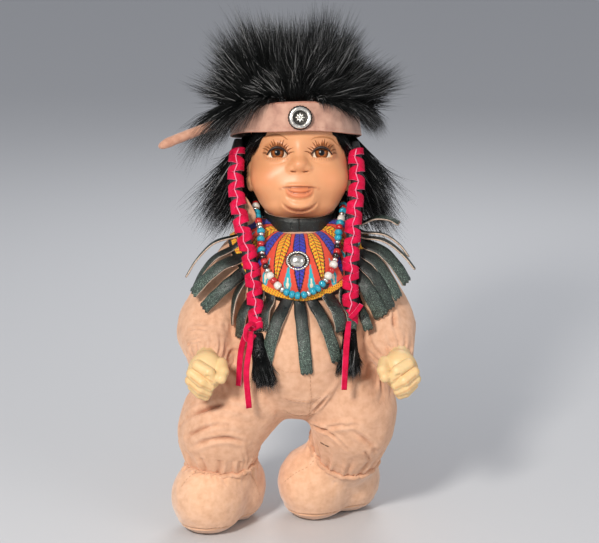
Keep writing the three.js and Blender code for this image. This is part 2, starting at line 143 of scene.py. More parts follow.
def mottle(made, per_metre, shades, stretch=(1, 1, 1), detail=4.0, paint=None):
    """Colour that wanders between shades, times a painted attribute where one is named."""
    cloud = node(made, "ShaderNodeTexNoise", Scale=per_metre, Detail=detail)
    join(made, stretched(made, stretch), cloud.inputs["Vector"])
    ramp = node(made, "ShaderNodeValToRGB")
    stops = ramp.color_ramp.elements
    while len(stops) < len(shades):
        stops.new(0.5)
    for stop, (place, shade) in zip(stops, shades):
        stop.position = place
        stop.color = (*shade, 1)
    join(made, cloud.outputs["Fac"], ramp.inputs["Fac"])
    colour = ramp.outputs["Color"]
    if paint:
        coat = node(made, "ShaderNodeAttribute", attribute_name=paint)
        both = node(made, "ShaderNodeMix", data_type="RGBA", blend_type="MULTIPLY")
        both.inputs[0].default_value = 1
        join(made, colour, both.inputs[6])
        join(made, coat.outputs["Color"], both.inputs[7])
        colour = both.outputs[2]
    join(made, colour, surface_of(made)["Base Color"])
    return made


def grain(made, per_metre, height, stretch=(1, 1, 1), kind="noise", detail=3.0):
    """Fine relief, its height in metres, laid over any relief there already is."""
    kinds = {"noise": "ShaderNodeTexNoise", "pebble": "ShaderNodeTexVoronoi", "rib": "ShaderNodeTexWave"}
    pattern = node(made, kinds[kind], Scale=per_metre)
    if kind == "noise":
        pattern.inputs["Detail"].default_value = detail
    join(made, stretched(made, stretch), pattern.inputs["Vector"])
    bump = node(made, "ShaderNodeBump", Distance=height)
    join(made, pattern.outputs["Distance" if kind == "pebble" else "Fac"], bump.inputs["Height"])
    surface = surface_of(made)["Normal"]
    if surface.is_linked:
        join(made, surface.links[0].from_socket, bump.inputs["Normal"])
    join(made, bump.outputs["Normal"], surface)
    return made


def mottled(name, tone, roughness, per_metre, dark, light, relief, height):
    """A finish whose colour wanders between a dark and a light dye, with fine relief."""
    made = mottle(finish(name, dye(*tone), roughness), per_metre, [(0.3, dye(*dark)), (0.7, dye(*light))])
    return grain(made, relief, height)


pattern_shift = (9.2147, -16.7253, 53.0)


def at(x, y, z):
    """A place in the doll, from the millimetres that its pattern is drawn in."""
    return Vector([mm + shift for mm, shift in zip((x, y, z), pattern_shift)]) / 1000


def smooth_path(corners, count):
    """Points spaced evenly along a smooth curve through the corners."""
    ends = [2 * corners[0] - corners[1], *corners, 2 * corners[-1] - corners[-2]]
    fine = []
    for a, b, c, d in zip(ends, ends[1:], ends[2:], ends[3:]):
        for t in np.linspace(0, 1, 24, endpoint=False):
            straight = 2 * b + (c - a) * t
            fine.append(0.5 * (straight + (2 * a - 5 * b + 4 * c - d) * t * t + (3 * b - a - 3 * c + d) * t**3))
    fine.append(corners[-1])
    steps = np.cumsum([0] + [(q - p).length for p, q in zip(fine, fine[1:])])
    wanted = np.linspace(0, steps[-1], count)
    flat = np.array(fine)
    return [Vector(v) for v in np.stack([np.interp(wanted, steps, flat[:, i]) for i in range(3)], 1)]


def pattern_path(corners, count):
    """The same through corners given in pattern millimetres."""
    return smooth_path([at(*c) for c in corners], count)


def path_length(path):
    """How long a line of points is."""
    return sum((b - a).length for a, b in zip(path, path[1:]))


def along(path):
    """The unit direction at each point of a path."""
    last = len(path) - 1
    return [(path[min(i + 1, last)] - path[max(i - 1, 0)]).normalized() for i in range(last + 1)]


def strap(path, across, widths, thickness, lanes, cup=0.0):
    """A closed flat strap: its points, its faces, and which of those are its cut edges."""
    points, faces, cut = [], [], []
    for p, t, a, w in zip(path, along(path), across, widths):
        side = (a - t * a.dot(t)).normalized()
        up = side.cross(t)
        for face in (1, -1):
            for lane in range(lanes + 1):
                u = (lane / lanes - 0.5) * face
                points.append(p + side * u * w + up * (face * thickness / 2 - cup * 4 * u * u * w))
    ring = 2 * (lanes + 1)
    for i in range(len(path) - 1):
        for j in range(ring):
            k = (j + 1) % ring
            if j in (lanes, ring - 1):
                cut.append(len(faces))
            faces.append((i * ring + j, i * ring + k, (i + 1) * ring + k, (i + 1) * ring + j))
    for base, turn in ((0, 1), ((len(path) - 1) * ring, -1)):
        for lane in range(lanes):
            corners = (base + lane, base + lane + 1, base + ring - 2 - lane, base + ring - 1 - lane)
            cut.append(len(faces))
            faces.append(corners[::-turn])
    return points, faces, cut


def belongs(made, slot, *nodes):
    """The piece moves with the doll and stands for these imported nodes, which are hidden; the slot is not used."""
    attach(made, "root")
    if nodes:
        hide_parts(*nodes)


def made_piece(name, shell, materials, slot, *nodes):
    """A piece of the doll from a shell; its cut edges take the second material."""
    points, faces, cut = shell
    mesh = bpy.data.meshes.new(name)
    mesh.from_pydata([tuple(p) for p in points], [], faces)
    for each in materials:
        mesh.materials.append(each)
    if len(materials) > 1:
        for i in cut:
            mesh.polygons[i].material_index = 1
    worked = bmesh.new()
    worked.from_mesh(mesh)
    bmesh.ops.recalc_face_normals(worked, faces=worked.faces)
    worked.to_mesh(mesh)
    worked.free()
    mesh.polygons.foreach_set("use_smooth", [True] * len(mesh.polygons))
    mesh.update()
    made = put_in(name, mesh)
    belongs(made, slot, *nodes)
    return made


lace_width, lace_steps = 0.005, 22
lace_finish = finish("crimson suede lace", dye(216, 16, 68), 0.85, Sheen_Weight=0.15, Sheen_Roughness=0.4,
                     Sheen_Tint=(*dye(255, 120, 160), 1), Specular_IOR_Level=0.2)
mottle(lace_finish, 160, [(0.3, dye(190, 8, 50)), (0.7, dye(232, 24, 80))])
grain(lace_finish, 2600, 0.0003)
lace_cut = mottled("lace cut edge", (240, 110, 150), 0.9, 300, (236, 90, 134), (250, 160, 186), 3000, 0.0002)
for name, twist, corners in (
    ("lace_end_right_long", 0.5, [(-41, -57, 137), (-42, -63, 125), (-45, -69, 104), (-43, -70, 73)]),
    ("lace_end_right_short", -0.9, [(-45, -47, 136), (-50, -51, 117), (-52, -55, 88)]),
    ("lace_end_left", 0.6, [(42, -51, 144), (39.5, -66, 125), (37.5, -73, 90)]),
):
    route = pattern_path(corners, lace_steps)
    turns = [twist * (i / (lace_steps - 1) - 0.3) for i in range(lace_steps)]
    across = [Quaternion((0, 0, 1), turn) @ Vector((1, 0, 0)) for turn in turns]
    widths = [lace_width * (0.8 + 0.2 * min(1, i / 4)) for i in range(lace_steps)]
    end = made_piece(name + "_flat", strap(route, across, widths, 0.0011, lanes=4, cup=0.05),
                     [lace_finish, lace_cut], "lace", name)


# ---- Head ----
# One rotocast vinyl head with a round baby face: full cheeks, a small nose, parted lips with the
# tongue showing, and a double chin. The eyes sit in sockets, and lips, lids and cheeks are tinted.
# Painted shade darkens the mouth's grooves and corners, the nostrils, the chin fold and under it.
head_lift = Quaternion((1, 0, 0), -math.radians(14))
head_middle = at(0, 33, 278)


def on_head(x, y, z):
    """A place on the head, from millimetres in its own frame, where the face looks along -Y."""
    return head_middle + head_lift @ Vector((x, y, z)) / 1000


def egg(p, middle, radii):
    """How far points lie outside an ellipsoid."""
    offset = p - np.array(middle, float)
    radii = np.array(radii, float)
    near = np.linalg.norm(offset / radii, axis=1)
    slope = np.linalg.norm(offset / radii**2, axis=1)
    return near * (near - 1) / np.maximum(slope, 1e-9)


def rod(p, start, end, radius):
    """How far points lie outside a rod with round ends."""
    start, end = np.array(start, float), np.array(end, float)
    t = np.clip((p - start) @ (end - start) / ((end - start) @ (end - start)), 0, 1)
    return np.linalg.norm(p - start - t[:, None] * (end - start), axis=1) - radius


def melt(a, b, blend):
    """Two shapes joined, with a fillet of about this size."""
    h = np.clip(0.5 + 0.5 * (b - a) / blend, 0, 1)
    return b * (1 - h) + a * h - blend * h * (1 - h)


def hollow(a, b, blend):
    """The first shape with the second cut out of it, and a fillet round the cut."""
    return -melt(-a, b, blend)


eye_apart, eye_height, eye_depth, eye_radius, lid_half = 18.8, -6.8, -35.6, 10.0, 8.7


def lid_lines(across):
    """The heights of the upper and lower lid over the middle of an eye."""
    part = np.clip(1 - (np.abs(across) / lid_half) ** 2.3, 0, 1)
    sag = 2.2 * (across / lid_half) ** 2
    return 3.9 * part**0.75 - sag, -3.9 * part**0.6 - np.minimum(sag, 2.2)


def mouth_lines(corner):
    """How high the parted lips, the tongue's lower edge and the lower lip's foot are."""
    arc = lambda reach: np.sqrt(np.clip(1 - (corner / reach) ** 2, 0, 1))
    return -36.3 - 0.002 * corner**2, -36.6 - 4.9 * arc(10.6), -37.2 - 8.9 * arc(13.6)


def vinyl_head(p):
    """How far points in the head's frame, in millimetres, lie outside its vinyl."""
    mirrored = np.abs(p) * (1, 0, 0) + p * (0, 1, 1)
    shape = melt(egg(p, (0, 6, 10), (44.5, 50, 49)), egg(p, (0, -7, -21), (42.8, 42, 41)), 9)
    shape = melt(shape, egg(p, (0, -24, 15), (33, 24, 23)), 10)
    shape = melt(shape, egg(mirrored, (24, -26.5, -30), (16.5, 18, 16)), 10)
    shape = melt(shape, egg(mirrored, (14, -18, -44.5), (19, 20, 15.4)), 8)
    shape = melt(shape, egg(p, (0, -22, -50.4), (29.5, 21, 10.8)), 3.5)
    shape = melt(shape, rod(p, (0, 4, -34), (0, 2, -70), 23), 6)
    shape = hollow(shape, egg(mirrored, (18.5, -51.5, -4.5), (14, 6.0, 9.5)), 7)
    shape = melt(shape, rod(p, (0, -42.0, -3), (0, -48.2, -14), 2.8), 8)
    shape = melt(shape, egg(p, (0, -48.8, -17.4), (6.2, 5.9, 5.1)), 4)
    shape = melt(shape, egg(mirrored, (6.7, -46.2, -20.0), (3.7, 4.4, 3.4)), 3.0)
    shape = hollow(shape, egg(mirrored, (5.2, -50.8, -23.2), (2.8, 4.2, 0.7)), 0.8)
    shape = hollow(shape, egg(p, (0, -54.6, -28.6), (1.8, 2.6, 5.0)), 2.8)
    shape = melt(shape, egg(p, (0, -40.6, -51.5), (13.5, 9.8, 6.6)), 6)
    shape = hollow(shape, egg(p, (0, -54.6, -48.6), (8.0, 4.0, 1.2)), 5)
    shape = melt(shape, egg(p, (0, -37.0, -40.0), (16, 12.6, 9.5)), 11)
    corner = np.abs(p[:, 0])
    lip_line, tongue_low, lip_low = mouth_lines(corner)
    within = lambda reach, before=-25: np.clip(1 - (corner / reach) ** 4, 0, 1) * (p[:, 1] < before)
    ridge = lambda offset, broad: np.exp(-((offset / broad) ** 2))
    for deep, line, broad, reach in (
        (2.0, lip_line, 0.75, 15.4), (1.3, tongue_low, 0.6, 11.0), (1.1, lip_low - 1.6, 1.7, 12.5),
        (-1.3, (tongue_low + lip_low) / 2, 1.9, 12.0), (-1.0, (tongue_low + lip_line) / 2, 1.6, 9.8),
        (-0.7, lip_line + 2.0, 1.5, 12.0), (2.3, -56.2 + 0.026 * corner**2, 1.5, None),
    ):
        shape = shape + deep * ridge(p[:, 2] - line, broad) * (within(reach) if reach else within(15.5, -12))
    over_eye, height = corner - eye_apart, p[:, 2] - eye_height
    bag = ridge(height + 8.8 - 0.03 * over_eye**2, 0.8) * np.clip(1 - (over_eye / 9) ** 2, 0, 1)
    shape = shape + 0.35 * bag * (p[:, 1] < -25)
    ear = melt(egg(mirrored, (43.6, 0, -18), (4.0, 8.5, 13)), egg(mirrored, (42.2, -5, -31), (3.7, 5.5, 7)), 4)
    shape = melt(shape, ear, 2.5)
    lid = egg(mirrored, (eye_apart, eye_depth, eye_height), (11.5, 11.3, 11.1))
    shape = melt(shape, lid, 2.2)
    upper, lower = lid_lines(over_eye)
    slit = np.maximum(np.maximum(height - upper, lower - height), np.abs(over_eye) - lid_half)
    slit = np.maximum(slit, p[:, 1] + 30)
    shape = hollow(shape, slit, 0.5)
    socket = egg(mirrored, (eye_apart, eye_depth, eye_height), (9.3, 9.3, 9.3))
    return np.minimum(shape, socket)


def marched(start, heading, reach, shape, rounds=46):
    """How far along each ray the shape's surface lies."""
    gone = np.zeros(len(start))
    for _ in range(rounds):
        gone = np.minimum(gone + 0.85 * shape(start + heading * gone[:, None]), reach)
    return gone


def rays_round(spin, tilt):
    """Directions at these turns from the front and these tilts from the top, and the two poles."""
    tilts, spins = np.meshgrid(tilt, spin, indexing="ij")
    rays = np.stack([np.sin(tilts) * np.sin(spins), -np.sin(tilts) * np.cos(spins), np.cos(tilts)], -1)
    return np.concatenate([rays.reshape(-1, 3), [(0, 0, 1), (0, 0, -1)]])


def cast(shape, middle, rays, far):
    """Where the rays that come from this far out towards a middle meet a shape."""
    return middle + rays * (far - marched(middle + rays * far, -rays, far - 1, shape, 60))[:, None]


def rounds_of(rings, sides):
    """Faces of a closed shell made of rings, with one point at each end."""
    faces = []
    for i in range(rings - 1):
        for j in range(sides):
            k = (j + 1) % sides
            faces.append((i * sides + j, i * sides + k, (i + 1) * sides + k, (i + 1) * sides + j))
    for j in range(sides):
        k = (j + 1) % sides
        faces.append((rings * sides, k, j))
        faces.append((rings * sides + 1, (rings - 1) * sides + j, (rings - 1) * sides + k))
    return faces


def painted(made, colours, name="paint"):
    """Lays one colour on each point of a piece."""
    coat = made.data.color_attributes.new(name, "FLOAT_COLOR", "POINT")
    coat.data.foreach_set("color", np.concatenate([colours, np.ones((len(colours), 1))], 1).ravel())


def uneven_gloss(made, per_metre, low, high):
    """Roughness that wanders between two values, as handling leaves it."""
    cloud = node(made, "ShaderNodeTexNoise", Scale=per_metre, Detail=3.0)
    join(made, stretched(made, (1, 1, 1)), cloud.inputs["Vector"])
    span = node(made, "ShaderNodeMapRange", **{"From Min": 0.3, "From Max": 0.7, "To Min": low, "To Max": high})
    join(made, cloud.outputs["Fac"], span.inputs["Value"])
    join(made, span.outputs["Result"], surface_of(made)["Roughness"])
    return made


head_turns, head_tiers = 372, 251
spin = np.linspace(-math.pi, math.pi, head_turns, endpoint=False)
spin = spin - 0.62 * np.sin(spin) + 0.05 * np.sin(2 * spin)
tilt = np.linspace(0, math.pi, head_tiers + 2)[1:-1]
tilt = tilt + 0.30 * np.sin(2 * tilt) + 0.05 * np.sin(4 * tilt)
skin = cast(vinyl_head, np.array((0.0, -6.0, -14.0)), rays_round(spin, tilt), 100)
vinyl = finish("warm tan vinyl", dye(222, 158, 111), 0.46, Coat_Weight=0.08, Coat_Roughness=0.3,
               Subsurface_Weight=0.12, Subsurface_Scale=0.004, Subsurface_Radius=(1.0, 0.45, 0.25))
mottle(vinyl, 35, [(0.35, dye(218, 154, 108)), (0.65, dye(227, 163, 116))], paint="face_paint_and_shade")
grain(vinyl, 1500, 0.00003)
uneven_gloss(vinyl, 60, 0.4, 0.52)
head = made_piece("head_vinyl", ([on_head(*p) for p in skin], rounds_of(head_tiers, head_turns), []),
                  [vinyl], "vinyl", "head")


def near(x, z, spread_x, spread_z):
    """How strongly paint lies on each skin point around a spot of the face."""
    away = ((skin[:, 0] - x) / spread_x) ** 2 + ((skin[:, 2] - z) / spread_z) ** 2
    return np.exp(-away) * (skin[:, 1] < -25)


def brushed(paint, where, tone):
    """Paint laid over other paint, as strongly as where says."""
    return paint * (1 - where[:, None]) + np.array(tone) * where[:, None]


paint = np.ones((len(skin), 3))
for strength, x, z, spread_x, spread_z, tint in (
    (0.7, 29, -28, 13, 11, (1.0, 0.80, 0.72)), (0.5, 0, -17, 8, 7, (1.0, 0.88, 0.84)),
    (0.4, 0, -54, 13, 7, (1.0, 0.9, 0.86)), (0.6, eye_apart, -1.5, 11, 3.2, (0.80, 0.60, 0.50)),
    # The next line's second spot, dark under the chin pad, is a painted shadow.
    (0.35, eye_apart, -11.8, 9, 1.4, (0.80, 0.66, 0.58)), (0.85, 0, -59.8, 12, 2.4, (0.50, 0.30, 0.25)),
    # The next spot darkens both mouth corners: painted shade.
    (0.5, 16.2, -37.5, 1.6, 1.4, (0.7, 0.5, 0.42)),
):
    for side in (-1, 1) if x else (1,):
        paint = brushed(paint, strength * near(side * x, z, spread_x, spread_z), paint * tint)
across, height = np.abs(skin[:, 0]), skin[:, 2]
lip_line, tongue_low, lip_low = mouth_lines(across)
front = skin[:, 1] < -36
within = lambda reach: np.clip(1.02 - (across / reach) ** 6, 0, 1) * front
rise = lambda low: 1 / (1 + np.exp(-np.clip((height - low) / 0.22, -30, 30)))
fall = lambda high: 1 / (1 + np.exp(np.clip((height - high) / 0.22, -30, 30)))
stroke = lambda line, broad: np.exp(-(((height - line) / broad) ** 2))
# Painted shade in each nostril, a dark arc.
nostril_shade = stroke(-24.6 + 0.28 * across, 0.5) * np.exp(-(((across - 5.3) / 2.3) ** 4)) * front
for where, tone in (
    (0.45 * rise(lip_line) * fall(lip_line + 2.4) * within(11.5), (1.0, 0.76, 0.68)),
    (0.9 * rise(lip_low + 0.3) * fall(tongue_low) * within(12.8), (0.98, 0.62, 0.54)),
    (0.95 * rise(tongue_low) * fall(lip_line) * within(10.4), (1.0, 0.66, 0.54)),
    # The next two strokes are painted shade in the mouth's grooves: under the tongue and where the lips part.
    (0.92 * stroke(tongue_low, 0.62) * within(10.8), (0.38, 0.15, 0.11)),
    (0.95 * stroke(lip_line, 0.62) * within(15.4), (0.26, 0.10, 0.08)),
    # Painted shade in the chin fold.
    (0.9 * stroke(0.026 * across**2 - 56.4, 1.4) * within(13.8), (0.42, 0.22, 0.17)),
    (0.9 * nostril_shade, (0.30, 0.15, 0.11)),
):
    paint = brushed(paint, where, tone)
painted(head, paint, "face_paint_and_shade")


# ---- Eyes ----
# Two glossy set-in eyes of 20 mm: a cream ball with an amber-brown iris, streaked from the pupil
# outwards, under a clear dome. Each sits in its socket behind the lids.
eye_finish = finish("glossy eye", (1, 1, 1), 0.3, Coat_Weight=0.3, Coat_Roughness=0.02, Specular_IOR_Level=0.15)
mottle(eye_finish, 900, [(0.4, (0.93, 0.93, 0.93)), (0.6, (1, 1, 1))], paint="paint")
grain(eye_finish, 500, 0.00001)
eye_white, iris_rim_brown, pupil_black = dye(238, 230, 210), dye(56, 28, 12), (0.003, 0.003, 0.003)
iris_brown, iris_amber = np.array(dye(122, 64, 24)), np.array(dye(186, 106, 40))
iris_out, iris_rim, pupil_ring, pupil_out = 5.7, 5.1, 2.5, 2.3
dome_edge = 0.62
eye_rings = np.concatenate([np.linspace(0.03, dome_edge, 34), np.linspace(0.68, math.pi - 0.1, 20)])
eye_sides = 96
for side, name in ((-1, "eye_right"), (1, "eye_left")):
    spread = np.random.default_rng(5 + side).normal(0, 1, (3, eye_sides))
    points, colours = [], []
    for angle in [*eye_rings, 0.0, math.pi]:
        for j in range(eye_sides if 0 < angle < math.pi else 1):
            turn = 2 * math.pi * j / eye_sides
            out = eye_radius + 0.75 * max(0, 1 - (angle / dome_edge) ** 2) ** 1.5
            points.append(on_head(side * eye_apart + out * math.sin(angle) * math.cos(turn),
                                  eye_depth - out * math.cos(angle),
                                  eye_height + out * math.sin(angle) * math.sin(turn)))
            from_middle = eye_radius * math.sin(angle)
            streak = 0.5 + 0.5 * math.sin(turn * 17 + 3 * math.sin(turn * 5)) + 0.25 * spread[0][j]
            warm = iris_brown * (0.6 + 0.5 * streak) + iris_amber * 0.30 * max(0, 1 - abs(from_middle - 3.1) / 1.2)
            # The iris's upper part is darkened: a painted shadow of the upper lid.
            if math.sin(turn) > 0.45:
                warm = warm * 0.30
            if angle > 1.6 or from_middle > iris_out:
                shade = eye_white
            elif from_middle > iris_rim:
                shade = iris_rim_brown
            elif from_middle > pupil_out:
                shade = warm * (1 if from_middle > pupil_ring else 0.5)
            else:
                shade = pupil_black
            colours.append(shade)
    eye = made_piece(name + "_ball", (points, rounds_of(len(eye_rings), eye_sides), []), [eye_finish], "eye", name)
    painted(eye, np.array(colours))


# ---- Lashes and brows ----
# Brown strokes painted on the vinyl: a dark line along each upper lid, a dozen lashes fanned out
# above it, fine specks below the eye and one thin arched brow. Each is a raised line of paint.
def skin_at(x, z, lift=0.0):
    """The skin's point straight behind (x, z) as the face is looked at."""
    start = np.stack([np.atleast_1d(x), np.full(np.size(x), -75.0), np.atleast_1d(z)], 1).astype(float)
    heading = np.tile((0.0, 1.0, 0.0), (len(start), 1))
    found = start + heading * marched(start, heading, 90, vinyl_head)[:, None]
    return [on_head(*(p - (0, lift, 0))) for p in found]


def thread(path, radii, sides=4):
    """A closed round line through a path, its radius given at each point."""
    points = []
    hint = Vector((0.13, -0.21, 0.97))
    turns = [2 * math.pi * j / sides for j in range(sides)]
    for p, t, r in zip(path, along(path), radii):
        u = t.cross(hint).normalized()
        v = t.cross(u)
        points += [p + (u * math.cos(turn) + v * math.sin(turn)) * r for turn in turns]
    points += [path[0], path[-1]]
    return points, rounds_of(len(path), sides), []


def gather(parts):
    """Several closed shells as one list of points, of faces and of cut edges."""
    points, faces, cut = [], [], []
    for some_points, some_faces, some_cut in parts:
        cut += [len(faces) + i for i in some_cut]
        faces += [tuple(len(points) + i for i in face) for face in some_faces]
        points += some_points
    return points, faces, cut


lash_paint = mottled("dark brown paint", (34, 15, 9), 0.5, 500, (26, 12, 8), (46, 21, 12), 4000, 0.00002)
fine_paint = mottled("thin brown paint", (186, 126, 80), 0.5, 500, (174, 114, 70), (198, 140, 92), 4000, 0.00002)
stroke_paint = mottled("brown lash paint", (140, 80, 38), 0.5, 700, (112, 58, 26), (168, 102, 56), 4000, 0.00002)
dark_lines, lash_strokes, fine_lines = [], [], []
lash_count, speck_count, brow_steps = 13, 9, 24
for side in (-1, 1):
    lid = np.linspace(-8.9, 8.9, 25)
    upper, lower = lid_lines(lid)
    centre = side * eye_apart
    rim = skin_at(centre + lid, eye_height + upper + 0.75, 0.1)
    dark_lines.append(thread(rim, [0.0005 + 0.0008 * (1 - (x / 9.0) ** 2) for x in lid], 6))
    rim = skin_at(centre + lid[2:-2], eye_height + lower[2:-2] - 0.45)
    fine_lines.append(thread(rim, [0.00013] * len(rim)))
    for i in range(lash_count):
        part = i / (lash_count - 1) * 2 - 1
        x = 9.0 * part
        up, _ = lid_lines(np.array([min(8.6, abs(x))]))
        lean = 1.15 * part + 0.10 * math.sin(i * 2.3)
        size = (8.0 - 1.2 * abs(part)) * (0.84 + 0.16 * math.sin(i * 1.9 + side))
        t = np.linspace(0, 1, 7)
        xs = centre + x + size * np.sin(lean * (0.75 + 0.35 * t)) * t
        zs = eye_height + up[0] + 1.0 + size * np.cos(lean * (0.75 + 0.35 * t)) * t
        lash_strokes.append(thread(skin_at(xs, zs, 0.06), [0.00112 * (1 - q) ** 0.9 + 0.00006 for q in t]))
    for i in range(speck_count):
        part = i / (speck_count - 1) * 2 - 1
        _, low = lid_lines(np.array([7.6 * part]))
        t = np.linspace(0, 1, 4)
        speck = skin_at(centre + 7.6 * part + 1.2 * part * t, eye_height + low[0] - 0.8 - 1.9 * t, 0.04)
        fine_lines.append(thread(speck, [0.00020 * (1 - q) + 0.00004 for q in t]))
for spots in ([(-32.4, 7.0), (-23.8, 8.1), (-15.4, 7.7), (-10.0, 4.2)],
              [(10.0, 4.2), (12.9, 6.0), (19.9, 6.6), (27.0, 5.6), (32.6, 0.7)]):
    line = smooth_path([Vector((x, 0, z)) for x, z in spots], brow_steps)
    widths = [0.00080 * math.sin(math.pi * (0.1 + 0.8 * i / (brow_steps - 1))) for i in range(brow_steps)]
    fine_lines.append(thread(skin_at([p.x for p in line], [p.z for p in line], 0.05), widths))
made_piece("lash_lines", gather(dark_lines), [lash_paint], "vinyl")
made_piece("lash_strokes", gather(lash_strokes), [stroke_paint], "vinyl")
made_piece("brow_lines", gather(fine_lines), [fine_paint], "vinyl")


# ---- Headband ----
# A band of pinkish-tan suede around the head, its raw lower edge standing a little off the brow. It
# is cut 25 mm wide, wrinkles slightly where it is pulled round, and carries one row of stitches.
band_finish = finish("pinkish tan suede", dye(194, 148, 130), 0.95, Sheen_Weight=0.45, Sheen_Roughness=0.5)
band_shades = [(0.25, dye(168, 122, 106)), (0.5, dye(196, 150, 130)), (0.8, dye(214, 170, 148))]
mottle(band_finish, 120, band_shades, detail=6)
grain(band_finish, 1800, 0.00022, detail=6)
grain(band_finish, 90, 0.0006, stretch=(1, 1, 0.4))
band_cut = mottled("suede cut edge", (190, 132, 112), 0.95, 500, (176, 118, 100), (206, 150, 130), 2500, 0.0003)
band_middle, band_wide, band_deep = (-3.2, 4.0), 57.0, 61.5
band_steps, band_stitch_count = 220, 96


def band_point(turn, height, out):
    """A place on the band's outside, turned from the brow, in the head's frame."""
    ripple = 0.35 * math.sin(9 * turn + height * 0.12) + 0.25 * math.sin(23 * turn - height * 0.2)
    wide = band_wide - 0.05 * (height - 11) + out + ripple * 0.5
    deep = band_deep - 0.05 * (height - 11) + out + ripple * 0.5
    return (band_middle[0] + wide * math.sin(turn), band_middle[1] - deep * math.cos(turn),
            height + 0.4 * math.sin(5 * turn))


def stitch(path, radius):
    """One stitch of sewing thread through four points."""
    return thread(path, [radius] * 4, 5)


section = [(10.6, 0.0), (11.2, 0.5), (13, 0.25), (17, 0.1), (21, 0.0), (26, 0.0), (31, 0.1), (34.5, 0.2), (36, 0.0),
           (35.6, -1.3), (31, -1.6), (26, -1.7), (21, -1.7), (17, -1.6), (13, -1.5), (11, -1.2)]
ring, raw_edges = len(section), (0, 7, 8, len(section) - 1)
points, faces, cut = [], [], []
for i in range(band_steps):
    points += [on_head(*band_point(2 * math.pi * i / band_steps, z, out)) for z, out in section]
    for j in range(ring):
        k, n = (j + 1) % ring, (i + 1) % band_steps
        if j in raw_edges:
            cut.append(len(faces))
        faces.append((i * ring + j, n * ring + j, n * ring + k, i * ring + k))
made_piece("headband_suede", (points, faces, cut), [band_finish, band_cut], "band_suede", "headband")
stitch_finish = mottled("tan sewing thread", (196, 138, 118), 0.8, 900, (176, 116, 98), (212, 156, 134), 6000, 0.0001)
stitches = []
for i in range(band_stitch_count):
    turn = 2 * math.pi * i / band_stitch_count
    spots = ((0, -0.2), (0.01, 0.15), (0.034, 0.15), (0.044, -0.2))
    stitches.append(stitch([on_head(*band_point(turn + step, 14.0, out)) for step, out in spots], 0.00022))
made_piece("headband_stitches", gather(stitches), [stitch_finish], "band_suede")


# ---- Headband button and brooch ----
# Two cast metal ornaments. The button has a dark scalloped rim, a broad bright ring, a blackened
# groove and a small flower; the brooch has a rope rim round a bright dome. Both are sewn on.
def turned(profile, sides, wave=lambda turn, out: 1.0):
    """A round closed shell from (radius, height) pairs, the first and last on the axis."""
    rings = profile[1:-1]
    points = [Vector((r * wave(t, r) * math.cos(t), r * wave(t, r) * math.sin(t), h)) for r, h in rings
              for t in (2 * math.pi * j / sides for j in range(sides))]
    points += [Vector((0, 0, profile[0][1])), Vector((0, 0, profile[-1][1]))]
    return points, rounds_of(len(rings), sides), []


def pinned(shell, place, facing, roll=0.0):
    """A shell made around +Z, moved to a place and turned to face a direction; millimetres."""
    turn = facing.to_track_quat("Z", "Y") @ Quaternion((0, 0, 1), roll)
    return [place + turn @ (p / 1000) for p in shell[0]], shell[1], shell[2]


def pressed_oval(shell, wide, high):
    """A round shell pressed to an oval."""
    return [Vector((p.x * wide, p.y * high, p.z)) for p in shell[0]], shell[1], shell[2]


silver = finish("bright cast metal", dye(226, 222, 214), 0.2, Metallic=1.0)
mottle(silver, 500, [(0.3, dye(206, 200, 190)), (0.7, dye(240, 238, 232))])
grain(silver, 900, 0.00006)
uneven_gloss(silver, 400, 0.14, 0.34)
blackened = finish("blackened metal", dye(38, 37, 36), 0.45, Metallic=0.8)
mottle(blackened, 700, [(0.3, dye(24, 23, 22)), (0.7, dye(70, 68, 64))])
grain(blackened, 1500, 0.00006)
petals = []
for i in range(8):
    petal = turned([(0, 0), (1.05, 0), (1.15, 0.35), (0.7, 0.75), (0, 0.85)], 12)
    swing = Matrix.Rotation(i * math.pi / 4, 3, "Z")
    petal[0][:] = [swing @ Vector((p.x * 1.5 + 2.3, p.y * 0.8, p.z + 1.9)) for p in petal[0]]
    petals.append(petal)
button_place = on_head(0.5, -58.9, 22.0)
button_facing = head_lift @ Vector((0, -1, 0.02))
ring = turned([(0, 0.4), (5.6, 0.4), (6.0, 1.6), (6.6, 2.2), (7.8, 2.5), (9.0, 2.2), (9.5, 1.4), (9.4, 0.4), (0, 0.2)],
              64)
heart = turned([(0, 0.5), (1.6, 1.6), (1.5, 2.6), (0.9, 3.1), (0, 3.2)], 20)
made_piece("button_bright", gather([pinned(s, button_place, button_facing) for s in (ring, heart, *petals)]),
           [silver], "metal", "headband_button")
scallops = turned([(0, -0.6), (9.2, -0.6), (10.3, -0.1), (10.3, 0.7), (9.6, 1.1), (6.2, 1.1), (5.2, 0.9), (0, 1.0)],
                  144, lambda t, r: 1 + 0.022 * math.cos(24 * t) * (r > 9))
made_piece("button_dark", pinned(scallops, button_place, button_facing), [blackened], "metal")

brooch_place = at(-1.7, -36.8, 193.5)
brooch_facing = Vector((0, -math.cos(0.35), math.sin(0.35)))
dome = turned([(0, -1.5), (5.6, -1.5), (6.4, 0.4), (6.1, 1.6), (5.3, 2.6), (4.0, 3.5), (2.2, 4.1), (0, 4.3)], 48)
beading, bead_count = [], 26
for i in range(bead_count):
    t = 2 * math.pi * i / bead_count
    grip = [Vector((8.1 * 1.1 * math.cos(t + s), 8.1 * 0.92 * math.sin(t + s), 0.9 + h)) / 1000
            for s, h in ((-0.16, -0.5), (-0.05, 0.5), (0.05, 0.5), (0.16, -0.5))]
    cord = thread(grip, [0.0006, 0.0010, 0.0010, 0.0006], 7)
    beading.append(([p * 1000 for p in cord[0]], cord[1], []))
bright = [pinned(s, brooch_place, brooch_facing) for s in (pressed_oval(dome, 1.08, 0.94), *beading)]
made_piece("brooch_bright", gather(bright), [silver], "metal", "brooch")
plate = turned([(0, -1.9), (8.9, -1.9), (9.6, -0.8), (9.2, 0.3), (6.0, 0.5), (0, 0.4)], 72)
made_piece("brooch_dark", pinned(pressed_oval(plate, 1.08, 0.92), brooch_place, brooch_facing), [blackened], "metal")
